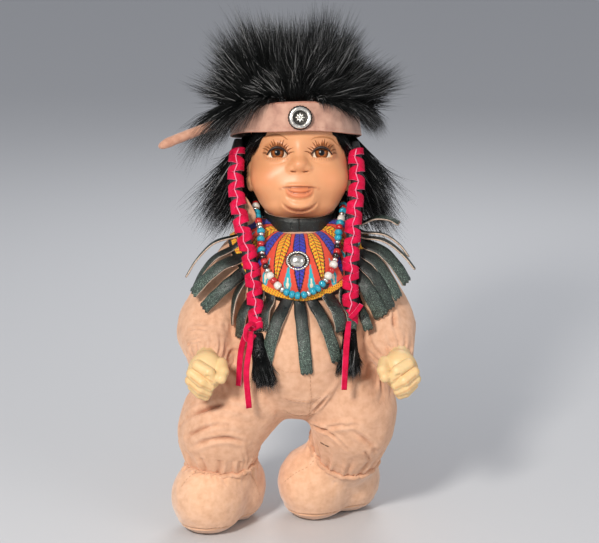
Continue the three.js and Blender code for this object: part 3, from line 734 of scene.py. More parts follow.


# ---- Fur crest ----
# A strip of long black faux fur sewn round inside the headband. Its pile, 50 to 90 mm long, fans up
# and out over the crown in clumps; shorter pile spills over the band, and pale grey glints are painted on some tips.
def fur_tree():
    """Strands from a backing whose points carry the pile's direction and length as 'comb'."""
    tree = bpy.data.node_groups.new("fur pile", "GeometryNodeTree")
    sockets = {}
    tree.interface.new_socket("Backing", in_out="INPUT", socket_type="NodeSocketGeometry")
    for label, kind, value in (
        ("Strands per square metre", "NodeSocketFloat", 1000.0), ("Strand width", "NodeSocketFloat", 0.0005),
        ("Clump size", "NodeSocketFloat", 0.01), ("Clumping", "NodeSocketFloat", 0.5),
        ("Frizz", "NodeSocketFloat", 0.3), ("Droop", "NodeSocketFloat", 0.1), ("Stray", "NodeSocketFloat", 0.2),
        ("Shortest", "NodeSocketFloat", 0.7), ("Seed", "NodeSocketInt", 1), ("Finish", "NodeSocketMaterial", None),
    ):
        socket = tree.interface.new_socket(label, in_out="INPUT", socket_type=kind)
        if value is not None:
            socket.default_value = value
        sockets[label] = socket.identifier
    tree.interface.new_socket("Fur", in_out="OUTPUT", socket_type="NodeSocketGeometry")
    entry, leave = tree.nodes.new("NodeGroupInput"), tree.nodes.new("NodeGroupOutput")

    def add(kind, inputs=(), **settings):
        """A node with its settings and inputs; an input may be a value or a socket."""
        made = tree.nodes.new(kind)
        for key, value in settings.items():
            setattr(made, key, value)
        for key, value in dict(inputs).items():
            if isinstance(value, bpy.types.NodeSocket):
                tree.links.new(value, made.inputs[key])
            else:
                made.inputs[key].default_value = value
        return made

    def maths(operation, a, b):
        """One sum of two numbers."""
        return add("ShaderNodeMath", {0: a, 1: b}, operation=operation).outputs[0]

    def scaled(vector, amount):
        """A direction made longer or shorter."""
        return add("ShaderNodeVectorMath", {0: vector, "Scale": amount}, operation="SCALE").outputs[0]

    def added(a, b, operation="ADD"):
        """Two directions added, or what else the operation says."""
        return add("ShaderNodeVectorMath", {0: a, 1: b}, operation=operation).outputs[0]

    def stored(geometry, name, kind, value):
        """Geometry that carries a value on each point."""
        return add("GeometryNodeStoreNamedAttribute", {"Geometry": geometry, "Name": name, "Value": value},
                   data_type=kind, domain="POINT").outputs[0]

    def named(name, kind):
        """A value that the geometry carries."""
        return add("GeometryNodeInputNamedAttribute", {"Name": name}, data_type=kind).outputs[0]

    def times(*factors):
        """All the factors multiplied."""
        product = factors[0]
        for factor in factors[1:]:
            product = maths("MULTIPLY", product, factor)
        return product

    def cloud(place, scale, detail):
        """Noise round zero, as a direction."""
        noisy = add("ShaderNodeTexNoise", {"Vector": place, "Scale": scale, "Detail": detail}).outputs["Color"]
        return added(noisy, (0.5, 0.5, 0.5), "SUBTRACT")

    seed, width = entry.outputs["Seed"], entry.outputs["Strand width"]
    backing, density = entry.outputs["Backing"], entry.outputs["Strands per square metre"]
    roots = add("GeometryNodeDistributePointsOnFaces", {"Mesh": backing, "Density": density, "Seed": seed})
    place = add("GeometryNodeInputPosition").outputs[0]
    roots = stored(roots.outputs["Points"], "root", "FLOAT_VECTOR", place)
    cone = add("GeometryNodeMeshCone", {"Vertices": 3, "Side Segments": 3, "Radius Top": 0.0, "Radius Bottom": 1.0,
                                        "Depth": 1.0}, fill_type="NGON")
    rise = add("ShaderNodeSeparateXYZ", {0: add("GeometryNodeInputPosition").outputs[0]}).outputs["Z"]
    strand = stored(cone.outputs["Mesh"], "along", "FLOAT", rise)
    comb = named("comb", "FLOAT_VECTOR")
    length = add("ShaderNodeVectorMath", {0: comb}, operation="LENGTH").outputs["Value"]
    stray = add("FunctionNodeRandomValue", {0: (-1, -1, -1), 1: (1, 1, 1), "Seed": seed},
                data_type="FLOAT_VECTOR").outputs[0]
    heading = added(comb, scaled(stray, times(length, entry.outputs["Stray"])))
    turn = add("FunctionNodeAlignRotationToVector", {"Vector": heading}, axis="Z").outputs[0]
    share = add("FunctionNodeRandomValue", {2: entry.outputs["Shortest"], 3: 1.0, "Seed": maths("ADD", seed, 7)},
                data_type="FLOAT").outputs[1]
    size = add("ShaderNodeCombineXYZ", {"X": width, "Y": width, "Z": times(length, share)}).outputs[0]
    pile = add("GeometryNodeInstanceOnPoints", {"Points": roots, "Instance": strand, "Rotation": turn,
                                                "Scale": size}).outputs[0]
    pile = add("GeometryNodeRealizeInstances", {"Geometry": pile}).outputs[0]
    root, rise = named("root", "FLOAT_VECTOR"), named("along", "FLOAT")
    bend = times(rise, rise, length)
    cells = add("ShaderNodeTexVoronoi", {"Vector": root, "Scale": maths("DIVIDE", 1.0, entry.outputs["Clump size"])})
    clump = cells.outputs["Position"]
    pull = scaled(added(clump, root, "SUBTRACT"), times(maths("POWER", rise, 1.4), entry.outputs["Clumping"]))
    lean = scaled(cloud(clump, 150.0, 1.0), times(bend, 0.9))
    frizz = scaled(cloud(added(root, scaled((0.3, 0.2, 1.0), times(rise, 0.012))), 420.0, 2.0),
                   times(bend, entry.outputs["Frizz"]))
    fall = scaled((0.0, 0.0, -1.0), times(bend, entry.outputs["Droop"]))
    offset = added(added(pull, lean), added(frizz, fall))
    moved = add("GeometryNodeSetPosition", {"Geometry": pile, "Offset": offset}).outputs[0]
    moved = add("GeometryNodeSetShadeSmooth", {"Geometry": moved}).outputs[0]
    done = add("GeometryNodeSetMaterial", {"Geometry": moved, "Material": entry.outputs["Finish"]}).outputs[0]
    tree.links.new(done, leave.inputs[0])
    return tree, sockets


pile_tree, pile_sockets = fur_tree()


def settled(made):
    """The plain mesh that an object's modifiers give."""
    return bpy.data.meshes.new_from_object(made.evaluated_get(bpy.context.evaluated_depsgraph_get()))


def grown(name, nodes, backing, combs, strands, **settings):
    """Grows the pile on a backing and leaves it as a plain mesh; a setting's name has _ for each space."""
    points, faces, _ = backing
    mesh = bpy.data.meshes.new(name + " backing")
    mesh.from_pydata([tuple(p) for p in points], [], faces)
    mesh.attributes.new("comb", "FLOAT_VECTOR", "POINT").data.foreach_set("vector", np.array(combs, float).ravel())
    density = strands / sum(face.area for face in mesh.polygons)
    holder = put_in(name + " backing", mesh)
    modifier = holder.modifiers.new("pile", "NODES")
    modifier.node_group = pile_tree
    settings = {"Strand_width": 0.00042, "Finish": fur_finish, "Strands_per_square_metre": density, **settings}
    for label, value in settings.items():
        modifier[pile_sockets[label.replace("_", " ")]] = value
    fur = settled(holder)
    fur.name = name
    bpy.data.objects.remove(holder)
    belongs(put_in(name, fur), "fur", *nodes)


def on_egg(middle, radii, up, turn):
    """A point of an ellipsoid in the head's frame, at a height from -1 to 1 and a turn from the front."""
    flat = math.sqrt(max(0.0, 1 - up * up))
    return (middle[0] + radii[0] * flat * math.sin(turn), middle[1] - radii[1] * flat * math.cos(turn),
            middle[2] + radii[2] * up)


def shell_patch(middle, radii, low, high, rows, columns, turns=(0, 2 * math.pi)):
    """A patch of an ellipsoid in the head's frame, between two heights given from -1 to 1."""
    ring = columns + (turns[1] - turns[0] <= 6.2)
    points, faces = [], []
    for i in range(rows + 1):
        for j in range(ring):
            points.append(on_egg(middle, radii, low + (high - low) * i / rows,
                                 turns[0] + (turns[1] - turns[0]) * j / columns))
    for i in range(rows):
        for j in range(columns):
            k = (j + 1) % ring
            faces.append((i * ring + j, i * ring + k, (i + 1) * ring + k, (i + 1) * ring + j))
    return points, faces


fur_finish = finish("black faux fur", (0.003, 0.004, 0.004), 0.42, Specular_IOR_Level=0.18)
# Strands whose noise runs high are painted pale towards their tips: painted glints.
tone = node(fur_finish, "ShaderNodeAttribute", attribute_name="root")
speck = node(fur_finish, "ShaderNodeTexNoise", Scale=1100.0, Detail=1.0)
join(fur_finish, tone.outputs["Vector"], speck.inputs["Vector"])
upward = node(fur_finish, "ShaderNodeAttribute", attribute_name="along")
glint_mix = node(fur_finish, "ShaderNodeMath", operation="MULTIPLY_ADD")
join(fur_finish, upward.outputs["Fac"], glint_mix.inputs[0])
glint_mix.inputs[1].default_value = 0.2
join(fur_finish, speck.outputs["Fac"], glint_mix.inputs[2])
ramp = node(fur_finish, "ShaderNodeValToRGB")
ramp.color_ramp.elements.new(0.70)
fur_shades_and_glints = ((0.4, (0.001, 0.0014, 0.0014)), (0.74, (0.005, 0.006, 0.006)), (1.0, (1.0, 1.0, 1.0)))
for stop, (place, shade) in zip(ramp.color_ramp.elements, fur_shades_and_glints):
    stop.position = place
    stop.color = (*shade, 1)
join(fur_finish, glint_mix.outputs[0], ramp.inputs["Fac"])
join(fur_finish, ramp.outputs["Color"], surface_of(fur_finish)["Base Color"])
uneven_gloss(fur_finish, 300, 0.26, 0.5)

crest_middle, crest_radii, fan_height, fan_wide = (-1.5, 6, 12), (53, 57, 47), 24.0, 54
crest_points, crest_faces = shell_patch(crest_middle, crest_radii, 0.42, 0.985, rows=16, columns=56)
crest_outline = [(-101, 97), (-90, 96), (-80, 98), (-70, 89), (-62, 96), (-53, 85), (-44, 102), (-32, 102), (-20, 97),
                 (-8, 99), (4, 95), (15, 97), (26, 93), (35, 79), (43, 78), (50, 90), (57, 94), (68, 87), (78, 82),
                 (90, 78), (101, 74)]
combs = []
crest_low, crest_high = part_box("fur_crest")
for x, y, z in crest_points:
    front = math.cos(math.atan2(x - crest_middle[0], -(y - crest_middle[1])))
    low = 1 - min(1, (z - 30) / 26)
    fan_turn = math.asin(max(-1, min(1, (x - crest_middle[0]) / fan_wide))) * (1.12 if front > 0 else 0.95)
    backward = -0.30 * max(0, front) * low + 0.55 * max(0, -front) + 0.08
    heading = Vector((math.sin(fan_turn), backward, math.cos(fan_turn))).normalized()
    outline = np.interp(math.degrees(fan_turn), *zip(*crest_outline)) * (1.05 + 0.06 * math.cos(fan_turn))
    spare = outline - math.hypot(x, z - fan_height)
    comb = head_lift @ (heading * max(38, spare)) / 1000
    root = on_head(x, y, z)
    for axis, share in enumerate((1.02, 0.80, 1.05)):
        room = ((crest_high[axis] - root[axis]) if comb[axis] > 0 else (root[axis] - crest_low[axis])) * share
        if abs(comb[axis]) > room > 0:
            comb = comb * (room / abs(comb[axis]))
    combs.append(comb)
grown("fur_crest_pile", ["fur_crest"], ([on_head(*p) for p in crest_points], crest_faces, []), combs, 12200,
      Clumping=0.86, Frizz=0.42, Droop=0.05, Stray=0.17, Shortest=0.70, Seed=11, Clump_size=0.0095)


def edge_strips(runs, rows, combed):
    """Strips of backing over the band's upper edge, and how the pile lies at each of their points."""
    points, faces, combs = [], [], []
    for run in runs:
        for i, turn in enumerate(run):
            heading, length = combed(turn)
            for j, (height, out) in enumerate(rows):
                x, y, _ = band_point(turn, 30, out)
                if i and j < len(rows) - 1:
                    faces.append((len(points) - 3, len(points), len(points) + 1, len(points) - 2))
                points.append(on_head(x, y, height))
                combs.append(head_lift @ Vector(heading).normalized() * length / 1000)
    return (points, faces, []), combs


def brim_comb(turn):
    """Pile that stands up in front, and at the sides falls over the band; the doll's right is bushier."""
    way = 1 if turn > 0 else -1
    side = min(1.0, max(0.0, (abs(turn) - 0.22) / 0.42))
    flat = Vector((math.sin(turn), -math.cos(turn), 0)) * (0.5 + 0.5 * side)
    heading = flat + Vector((way * 0.35 * side, 0.3 * side, 0.75 - (0.94 - 0.10 * way) * side))
    bushy = 26 * math.exp(-(((turn + 1.05) / 0.5) ** 2)) - 7 * math.exp(-(((turn - 1.3) / 0.5) ** 2))
    return heading, 18 + (17 + 4 * math.sin(turn * 9) + bushy) * side


def front_comb(turn):
    """Pile that fans out over the brow."""
    fanned = turn / 0.42 * 1.5
    return (math.sin(fanned), -0.30, 0.12 + math.cos(fanned)), 40 + 8 * math.sin(5 * turn)


brim_runs = [[way * (0.20 + 1.85 * i / 24) for i in range(25)] for way in (-1, 1)]
grown("fur_brim_pile", [], *edge_strips(brim_runs, ((34.5, -1.2), (37.5, -3.0), (41.0, -6.0)), brim_comb), 3600,
      Clumping=0.72, Frizz=0.4, Droop=0.55, Stray=0.2, Shortest=0.5, Seed=17, Clump_size=0.007)
front_runs = [[-0.42 + 0.07 * i for i in range(13)]]
grown("fur_front_pile", [], *edge_strips(front_runs, ((36.5, -2.4), (39.5, -4.4), (43.0, -7.5)), front_comb), 1500,
      Clumping=0.5, Frizz=0.35, Droop=0.03, Stray=0.22, Shortest=0.5, Seed=41, Strand_width=0.00045, Clump_size=0.008)


# ---- Hair ----
# The same black pile as a wig: it covers the back of the head from under the headband to the nape,
# flares into a loose lock beside each cheek, behind the braids, and lies flat over each temple.
cap_middle, cap_radii, cap_rings, cap_sides = (0, 13, 4), (50, 46, 50), 16, 32
cap = [on_egg(cap_middle, cap_radii, math.cos(math.pi * i / (cap_rings + 1)), 2 * math.pi * j / cap_sides)
       for i in range(1, cap_rings + 1) for j in range(cap_sides)]
cap += [on_egg(cap_middle, cap_radii, up, 0) for up in (1, -1)]
made_piece("hair_cap", ([on_head(*p) for p in cap], rounds_of(cap_rings, cap_sides), []), [fur_finish], "fur")
hair_points, hair_faces = shell_patch((0, 13, 2), (50.5, 46, 52), -0.86, 0.16, turns=(1.05, 2 * math.pi - 1.05),
                                      rows=16, columns=44)
combs = []
for x, y, z in hair_points:
    side = abs(x) / 50
    beside = max(0.0, 1 - max(0.0, (y - 2)) / 26)
    out = Vector((x / 50, max(0.0, (y - 13) / 46), 0))
    heading = Vector((0, 0, -1)) + out * (0.45 + 0.30 * beside * side)
    reach = 34 + 36 * beside * side + 14 * (z + 40) / 50
    if z < -30:
        reach *= 0.75
    combs.append(heading.normalized() * max(22, reach) / 1000)
grown("hair_pile", ["hair"], ([on_head(*p) for p in hair_points], hair_faces, []), combs, 11800,
      Clumping=0.6, Frizz=0.3, Droop=0.05, Stray=0.16, Shortest=0.6, Seed=23, Clump_size=0.009)
for way, label in ((-1, "right"), (1, "left")):
    points, faces, combs = [], [], []
    for i in range(11):
        u = i / 10
        for j in range(4):
            root = skin_at(way * (28.5 + 13.5 * u - 0.6 * j), 9.0 + 2.2 * j, 0.6)[0]
            tip = skin_at(way * min(43, 39.0 + 5 * u), 1.5 - 17 * u - j, 2.6)[0]
            tip = tip + Vector((way * (0.5 + 3.5 * u), 0, 0)) / 1000
            if i and j < 3:
                faces.append((len(points) - 4, len(points), len(points) + 1, len(points) - 3))
            points.append(root)
            combs.append(tip - root)
    grown("temple_hair_" + label, [], (points, faces, []), combs, 1500, Clumping=0.3, Frizz=0.16, Droop=0.0,
          Stray=0.10, Shortest=0.7, Seed=31 + way, Clump_size=0.004)


# ---- Suede roll ----
# A strip of tan suede rolled into a slim roll and stitched along one side. One end is tucked into
# the headband, and the other sticks out past the fur and ends in a round sewn tip.
roll_steps, roll_sides = 40, 24
roll_path = smooth_path([on_head(-52, -10, 26), on_head(-70, -20, 20), on_head(-92, -25, 11.5), on_head(-108, -28, 5),
                         on_head(-121, -30.5, -1)], roll_steps)
roll_finish = finish("tan suede roll", dye(200, 146, 120), 0.95, Sheen_Weight=0.4, Sheen_Roughness=0.5)
roll_shades = [(0.25, dye(176, 124, 102)), (0.55, dye(200, 148, 122)), (0.8, dye(216, 168, 142))]
mottle(roll_finish, 200, roll_shades, detail=6)
grain(roll_finish, 2200, 0.0004, detail=6)
grain(roll_finish, 260, 0.0005)
roll_radii = [0.0038 + 0.0005 * min(1, i / 12) for i in range(roll_steps)]
for i in range(1, 6):
    roll_radii[-i] *= math.sqrt(1 - ((6 - i) / 5.2) ** 2)
roll = thread(roll_path, roll_radii, roll_sides)
for i, p in enumerate(roll[0][:-2]):
    step, spoke = divmod(i, roll_sides)
    fold = 0.93 if spoke == 0 else 1 + 0.025 * math.sin(step * 1.3 + spoke)
    roll[0][i] = roll_path[step] + (p - roll_path[step]) * fold
made_piece("suede_roll_sewn", roll, [roll_finish], "band_suede", "suede_roll")
stitches = []
for i in range(6, 37, 2):
    base, nearby = roll[0][i * roll_sides], roll[0][(i + 1) * roll_sides]
    away = (base - roll_path[i]).normalized()
    spots = [base - away * 0.0003, base * 0.7 + nearby * 0.3 + away * 0.0004,
             base * 0.3 + nearby * 0.7 + away * 0.0004, nearby - away * 0.0003]
    stitches.append(stitch(spots, 0.00025))
made_piece("suede_roll_stitches", gather(stitches), [stitch_finish], "band_suede")


# ---- Romper ----
# One stuffed suit of thin peach suede, sewn at the inner legs, at the arms' roots and down the
# middle. Its firm stuffing rounds it out; it is gathered at the wrists and ankles and creased.
def points_of(mesh):
    """A mesh's points and which way they face, as two arrays."""
    places, outward = np.zeros(len(mesh.vertices) * 3), np.zeros(len(mesh.vertices) * 3)
    mesh.vertices.foreach_get("co", places)
    mesh.vertices.foreach_get("normal", outward)
    return places.reshape(-1, 3), outward.reshape(-1, 3)


cloth_frames, most_inward = 20, 0.0006


def stuffed(node_name, voxel, shrink, cap):
    """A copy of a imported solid, remeshed and blown up by its stuffing, as a fine plain mesh."""
    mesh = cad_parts[node_name].data.copy()
    worked = bmesh.new()
    worked.from_mesh(mesh)
    bmesh.ops.remove_doubles(worked, verts=worked.verts, dist=0.00002)
    worked.to_mesh(mesh)
    worked.free()
    pad = put_in(node_name + " form", mesh)
    remesh = pad.modifiers.new("even net", "REMESH")
    remesh.mode = "VOXEL"
    remesh.voxel_size = voxel
    relax = pad.modifiers.new("round edges", "SMOOTH")
    relax.factor = 0.5
    relax.iterations = 5
    even = settled(pad)
    bpy.data.objects.remove(pad)
    start, outward = points_of(even)
    start = start - outward * shrink
    even.vertices.foreach_set("co", start.ravel())
    pad = put_in(node_name + " stuffing", even)
    cloth = pad.modifiers.new("stuffing", "CLOTH")
    cloth.settings.quality = 5
    cloth.settings.use_pressure = True
    cloth.settings.uniform_pressure_force = 4
    cloth.settings.tension_stiffness = 15
    cloth.settings.compression_stiffness = 15
    cloth.settings.effector_weights.gravity = 0
    for step in range(1, cloth_frames + 1):
        bpy.context.scene.frame_set(step)
    blown, _ = points_of(settled(pad))
    pad.modifiers.remove(cloth)
    bpy.context.scene.frame_set(1)
    gone = blown - start
    gone -= outward * np.minimum(0, (gone * outward).sum(1) + most_inward)[:, None]
    size = np.linalg.norm(gone, axis=1, keepdims=True)
    even.vertices.foreach_set("co", (start + gone * np.minimum(1, cap / np.maximum(size, 1e-9))).ravel())
    even.update()
    net = pad.modifiers.new("finer net", "SUBSURF")
    net.levels = net.render_levels = 2
    made = settled(pad)
    bpy.data.objects.remove(pad)
    return made


def creased(mesh, folds):
    """How far folds press each point in, in millimetres, beside the points in metres and in the pattern.

    Each fold is (corners in pattern millimetres, width, depth)."""
    places, outward = points_of(mesh)
    drawn = places * 1000 - np.array(pattern_shift)
    push = np.zeros(len(places))
    for corners, width, depth in folds:
        path = np.array([tuple(p) for p in smooth_path([Vector(c) for c in corners], 14)])
        middle = path.mean(0)
        reach = np.linalg.norm(path - middle, axis=1).max() + 4 * abs(width)
        close = np.nonzero(np.linalg.norm(drawn - middle, axis=1) < reach)[0]
        if not len(close):
            continue
        spot = drawn[close]
        best = np.full(len(close), 1e9)
        part = np.zeros(len(close))
        for i, (a, b) in enumerate(zip(path, path[1:])):
            t = np.clip((spot - a) @ (b - a) / ((b - a) @ (b - a)), 0, 1)
            away = np.linalg.norm(spot - a - t[:, None] * (b - a), axis=1)
            nearer = away < best
            best[nearer] = away[nearer]
            part[nearer] = (i + t[nearer]) / (len(path) - 1)
        fade = np.clip(np.minimum(part, 1 - part) * 5 + 0.25, 0, 1)
        ridge = 0.42 * np.exp(-(((best - 2.1 * width) / (1.2 * width)) ** 2))
        push[close] += fade * depth * (-np.exp(-((best / width) ** 2)) + ridge)
    return places, outward, drawn, push


def waved(spot, scale, seed):
    """A smooth wandering value from -1 to 1, its waves about this many millimetres long."""
    draw = np.random.default_rng(seed)
    total = np.zeros(len(spot))
    for _ in range(7):
        heading = draw.normal(0, 1, 3)
        heading = heading / np.linalg.norm(heading) * 2 * math.pi / scale * draw.uniform(0.7, 1.4)
        total += np.sin(spot @ heading + draw.uniform(0, 6.3))
    return total / 4.5


def gathers(drawn, ends, count, depth, reach, seed):
    """Puckers that run off a gathered edge, round the axis from the first end to the second."""
    a, b = np.array(ends[0], float), np.array(ends[1], float)
    axis = (b - a) / np.linalg.norm(b - a)
    side = np.cross(axis, (0.3, 0.1, 0.9))
    side /= np.linalg.norm(side)
    offset = drawn - a
    rise = offset @ axis
    turn = np.arctan2(offset @ np.cross(axis, side), offset @ side)
    close = np.exp(-np.abs(rise / reach) ** 2.2) * (np.linalg.norm(offset - rise[:, None] * axis, axis=1) < 36)
    wander = 0.9 * waved(drawn, 26, seed)
    return depth * close * (np.sin(count * turn + 2.2 * wander) + 0.6 * np.sin(1.7 * count * turn + 1 + 3 * wander))


def soft_piece(name, mesh, places, outward, push, materials, slot, node_name):
    """A padded piece, pressed in or out at each point by some millimetres, but not into the floor."""
    moved = places + outward * push[:, None] / 1000
    moved[:, 2] = np.maximum(moved[:, 2], 0.0002)
    mesh.vertices.foreach_set("co", moved.ravel())
    mesh.polygons.foreach_set("use_smooth", [True] * len(mesh.polygons))
    mesh.update()
    mesh.materials.clear()
    for each in materials:
        mesh.materials.append(each)
    made = put_in(name, mesh)
    belongs(made, slot, node_name)
    return made


def fold_light_and_shade(push, painted_light_factor=1.0):
    """Painted light and shade at each point: paler on the ridges, darker and redder down in the folds."""
    deep = np.clip((-push - 0.6) / 1.8, 0, 1)[:, None]
    high = np.clip((push - 0.2) / 1.2, 0, 1)[:, None]
    return np.reshape(painted_light_factor, (-1, 1)) * (1 - deep * (0.42, 0.56, 0.60) + high * (0.05, 0.06, 0.07))


def soft_suede(name, tone, shades, **sheen):
    """Brushed suede, its colour multiplied at each point by painted light and shade."""
    made = finish(name, dye(*tone), 0.92, Sheen_Weight=0.5, Sheen_Roughness=0.5, **sheen)
    places = (0.3, 0.5, 0.7)
    mottle(made, 170, [(place, dye(*shade)) for place, shade in zip(places, shades)], detail=12, paint="painted_light_shade")
    grain(made, 1700, 0.00028, detail=6)
    return grain(made, 420, 0.0003, detail=4)


suede = soft_suede("peach suede", (222, 172, 138), ((212, 161, 128), (223, 174, 141), (230, 183, 151)),
                   Sheen_Tint=(*dye(255, 226, 204), 1))
romper_folds = [
    ([(39, -46.5, 101.4), (32.1, -51.3, 94.8), (21.8, -52.6, 79.1), (12.5, -45.4, 63.3)], 1.6, 3.8),
    ([(-51.1, -44.9, 91.9), (-40.8, -48.8, 82.4), (-30.5, -47.5, 69.4), (-22.1, -39, 55.8)], 1.6, 4.1),
]
front_seams = [
    ([(6.4, -59.4, 101.7), (7.2, -58.3, 89.8), (7.3, -54.6, 75.3), (5.6, -36.8, 55.9)], 1.0, 1.3),
    ([(-14.1, -55.9, 80.2), (-3.8, -55.9, 76.6), (7.3, -55.5, 76.4), (17.5, -55.4, 80.9)], 1.0, 1.3),
    ([(-13.4, -45.3, 63.2), (-4.8, -40.3, 58), (5.6, -39.9, 57.9), (11.6, -46.4, 64.5)], 1.0, 1.4),
    ([(-19.1, -57.6, 108.3), (-12.3, -58.7, 105.5), (-0.4, -60.6, 105.6), (8.9, -59.3, 106.1)], 1.0, 1.3),
]
romper_folds += front_seams
romper_folds += [
    ([(-102.4, -30.6, 46.6), (-85.8, -45.2, 61.4), (-66.6, -50.7, 69.5), (-46.8, -51.8, 67.2), (-32.4, -45.9, 54.4)],
     2.4, 2.5),
    ([(-98.4, -41.3, 37.4), (-81.3, -52.4, 49.3), (-63.1, -54, 53.5), (-45.2, -50.3, 48.6)], 1.7, 2.0),
    ([(-94.9, -44.4, 28.4), (-78.9, -52.1, 38.3), (-61.5, -55.9, 41.5), (-46.2, -48.6, 35.3)], 2.0, 2.2),
    ([(10.9, -27.5, 43.7), (22.1, -44.4, 44.8), (33.3, -46.7, 38.3), (41.1, -46.5, 29.2)], 1.6, 2.3),
    ([(-72.6, -54.6, 46.4), (-66.6, -53, 58.5), (-51.1, -51.1, 70.5), (-35.6, -50.1, 77.4)], 2.2, 1.4),
    ([(17.8, -37.7, 42.6), (29.7, -48.9, 50), (43.4, -53.3, 53.2), (58, -48, 51)], 1.7, 2.2),
    ([(45.2, -52.2, 47.5), (57.4, -49.2, 37.4), (66.6, -38.8, 22.8)], 2.0, 2.2),
    ([(-50.5, -49.9, 32.1), (-49.2, -40.6, 16.1), (-52.1, -33, 0.5)], 1.4, 2.3),
    ([(56.8, -45.8, 26.2), (61.7, -32.3, 13.2)], 1.3, 2.0),
    ([(-96, -34.5, 118.4), (-85.3, -41.2, 123.9)], 1.1, 2.0),
    ([(-94.6, -25.9, 129.4), (-80.4, -32.6, 131.3)], 1.3, 2.0),
    ([(-73.1, -16.6, 153.8), (-67.1, -18.1, 140.7), (-66.7, -31.6, 126.5)], 1.9, 2.6),
    ([(-61.9, -21.9, 123.8), (-58.7, -18.6, 107.5), (-61.6, -38.7, 95.4)], 1.4, 2.6),
    ([(62.6, -26.6, 125.1), (69.1, -38.6, 119.6), (79, -48.7, 116.3)], 1.3, 2.3),
    ([(74, -15.9, 153.6), (80, -18.8, 143.6), (81.3, -31.8, 132.8)], 1.7, 2.3),
    ([(-40, 36, 150), (-52, 44, 120), (-50, 46, 92)], 1.9, 2.0),
    ([(40, 38, 150), (52, 44, 120), (50, 46, 92)], 1.9, 2.0),
    ([(0, 52, 168), (0, 54, 130), (0, 50, 90), (-2, 36, 56)], 1.0, 1.6),
    ([(-70, 26, 52), (-55, 30, 66), (-38, 32, 74)], 2.2, 2.0),
    ([(72, 24, 52), (55, 30, 66), (38, 32, 74)], 2.2, 2.0),
]
romper_net = stuffed("romper", 0.005, -0.0016, 0.0045)
romper_folds = [(corners, width * 0.95, depth * 1.25) for corners, width, depth in romper_folds]
places, outward, drawn, push = creased(romper_net, romper_folds)
push += 0.55 * waved(drawn, 46, 3) + 0.28 * waved(drawn, 17, 4) + 0.10 * waved(drawn, 7, 5)
for ends, count, depth, reach, seed in (
    (((-79, -46, 106), (-82, -30, 113)), 15, 0.8, 15, 6), (((82, -42, 107), (80, -26, 114)), 15, 0.8, 15, 7),
    (((-71, -14, 16), (-70, -17, 34)), 18, 0.9, 15, 8), (((43, -2, 19), (46, -12, 38)), 18, 0.9, 15, 9),
):
    push += gathers(drawn, ends, count, depth, reach, seed)
romper = soft_piece("romper_stuffed", romper_net, places, outward, push, [suede], "suede", "romper")
# Painted shade darkens and reddens the folds; painted light makes the ridges a little paler.
painted(romper, fold_light_and_shade(push), "painted_light_shade")


def outside_of(made):
    """A piece's surface, to be searched."""
    return BVHTree.FromObject(made, bpy.context.evaluated_depsgraph_get())


body_tree = outside_of(romper)


def on_body(place, lift=0.0):
    """The romper's point nearest to a place, lifted off it by some metres, and its outward turn."""
    found, normal, _, _ = body_tree.find_nearest(place)
    return found + normal * lift, normal


suede_thread = mottled("peach sewing thread", (206, 158, 124), 0.8, 900, (186, 136, 104), (222, 176, 142), 6000, 0.0001)
dark_thread = mottled("dark thread", (60, 36, 26), 0.8, 900, (44, 26, 20), (84, 54, 40), 6000, 0.0001)


def sewn(tree, corners, gap, long, radius=0.00022):
    """Small stitches on a surface along a line of corners given in pattern millimetres."""
    line = pattern_path(corners, 60)
    line = smooth_path(line, max(2, int(path_length(line) / gap)) + 1)
    made = []
    for a, b in zip(line, line[1:]):
        spots = []
        for share, lift in ((0.0, -0.0003), (0.12, 0.00025), (long - 0.12, 0.00025), (long, -0.0003)):
            found, normal, _, _ = tree.find_nearest(a.lerp(b, share))
            spots.append(found + normal * lift)
        made.append(stitch(spots, radius))
    return made


stitches = []
for corners, _, _ in front_seams:
    stitches += sewn(body_tree, [(x + 1.9, y, z - 1.4) for x, y, z in corners], 0.0036, 0.7)
made_piece("romper_stitches", gather(stitches), [suede_thread], "suede")
tie = sewn(body_tree, [(18.7, -33.6, 30.2), (22.2, -36.7, 29.4), (26.5, -40.9, 29)], 0.0042, 0.85, 0.0004)
made_piece("dark_thread_mark", gather(tie), [dark_thread], "suede")
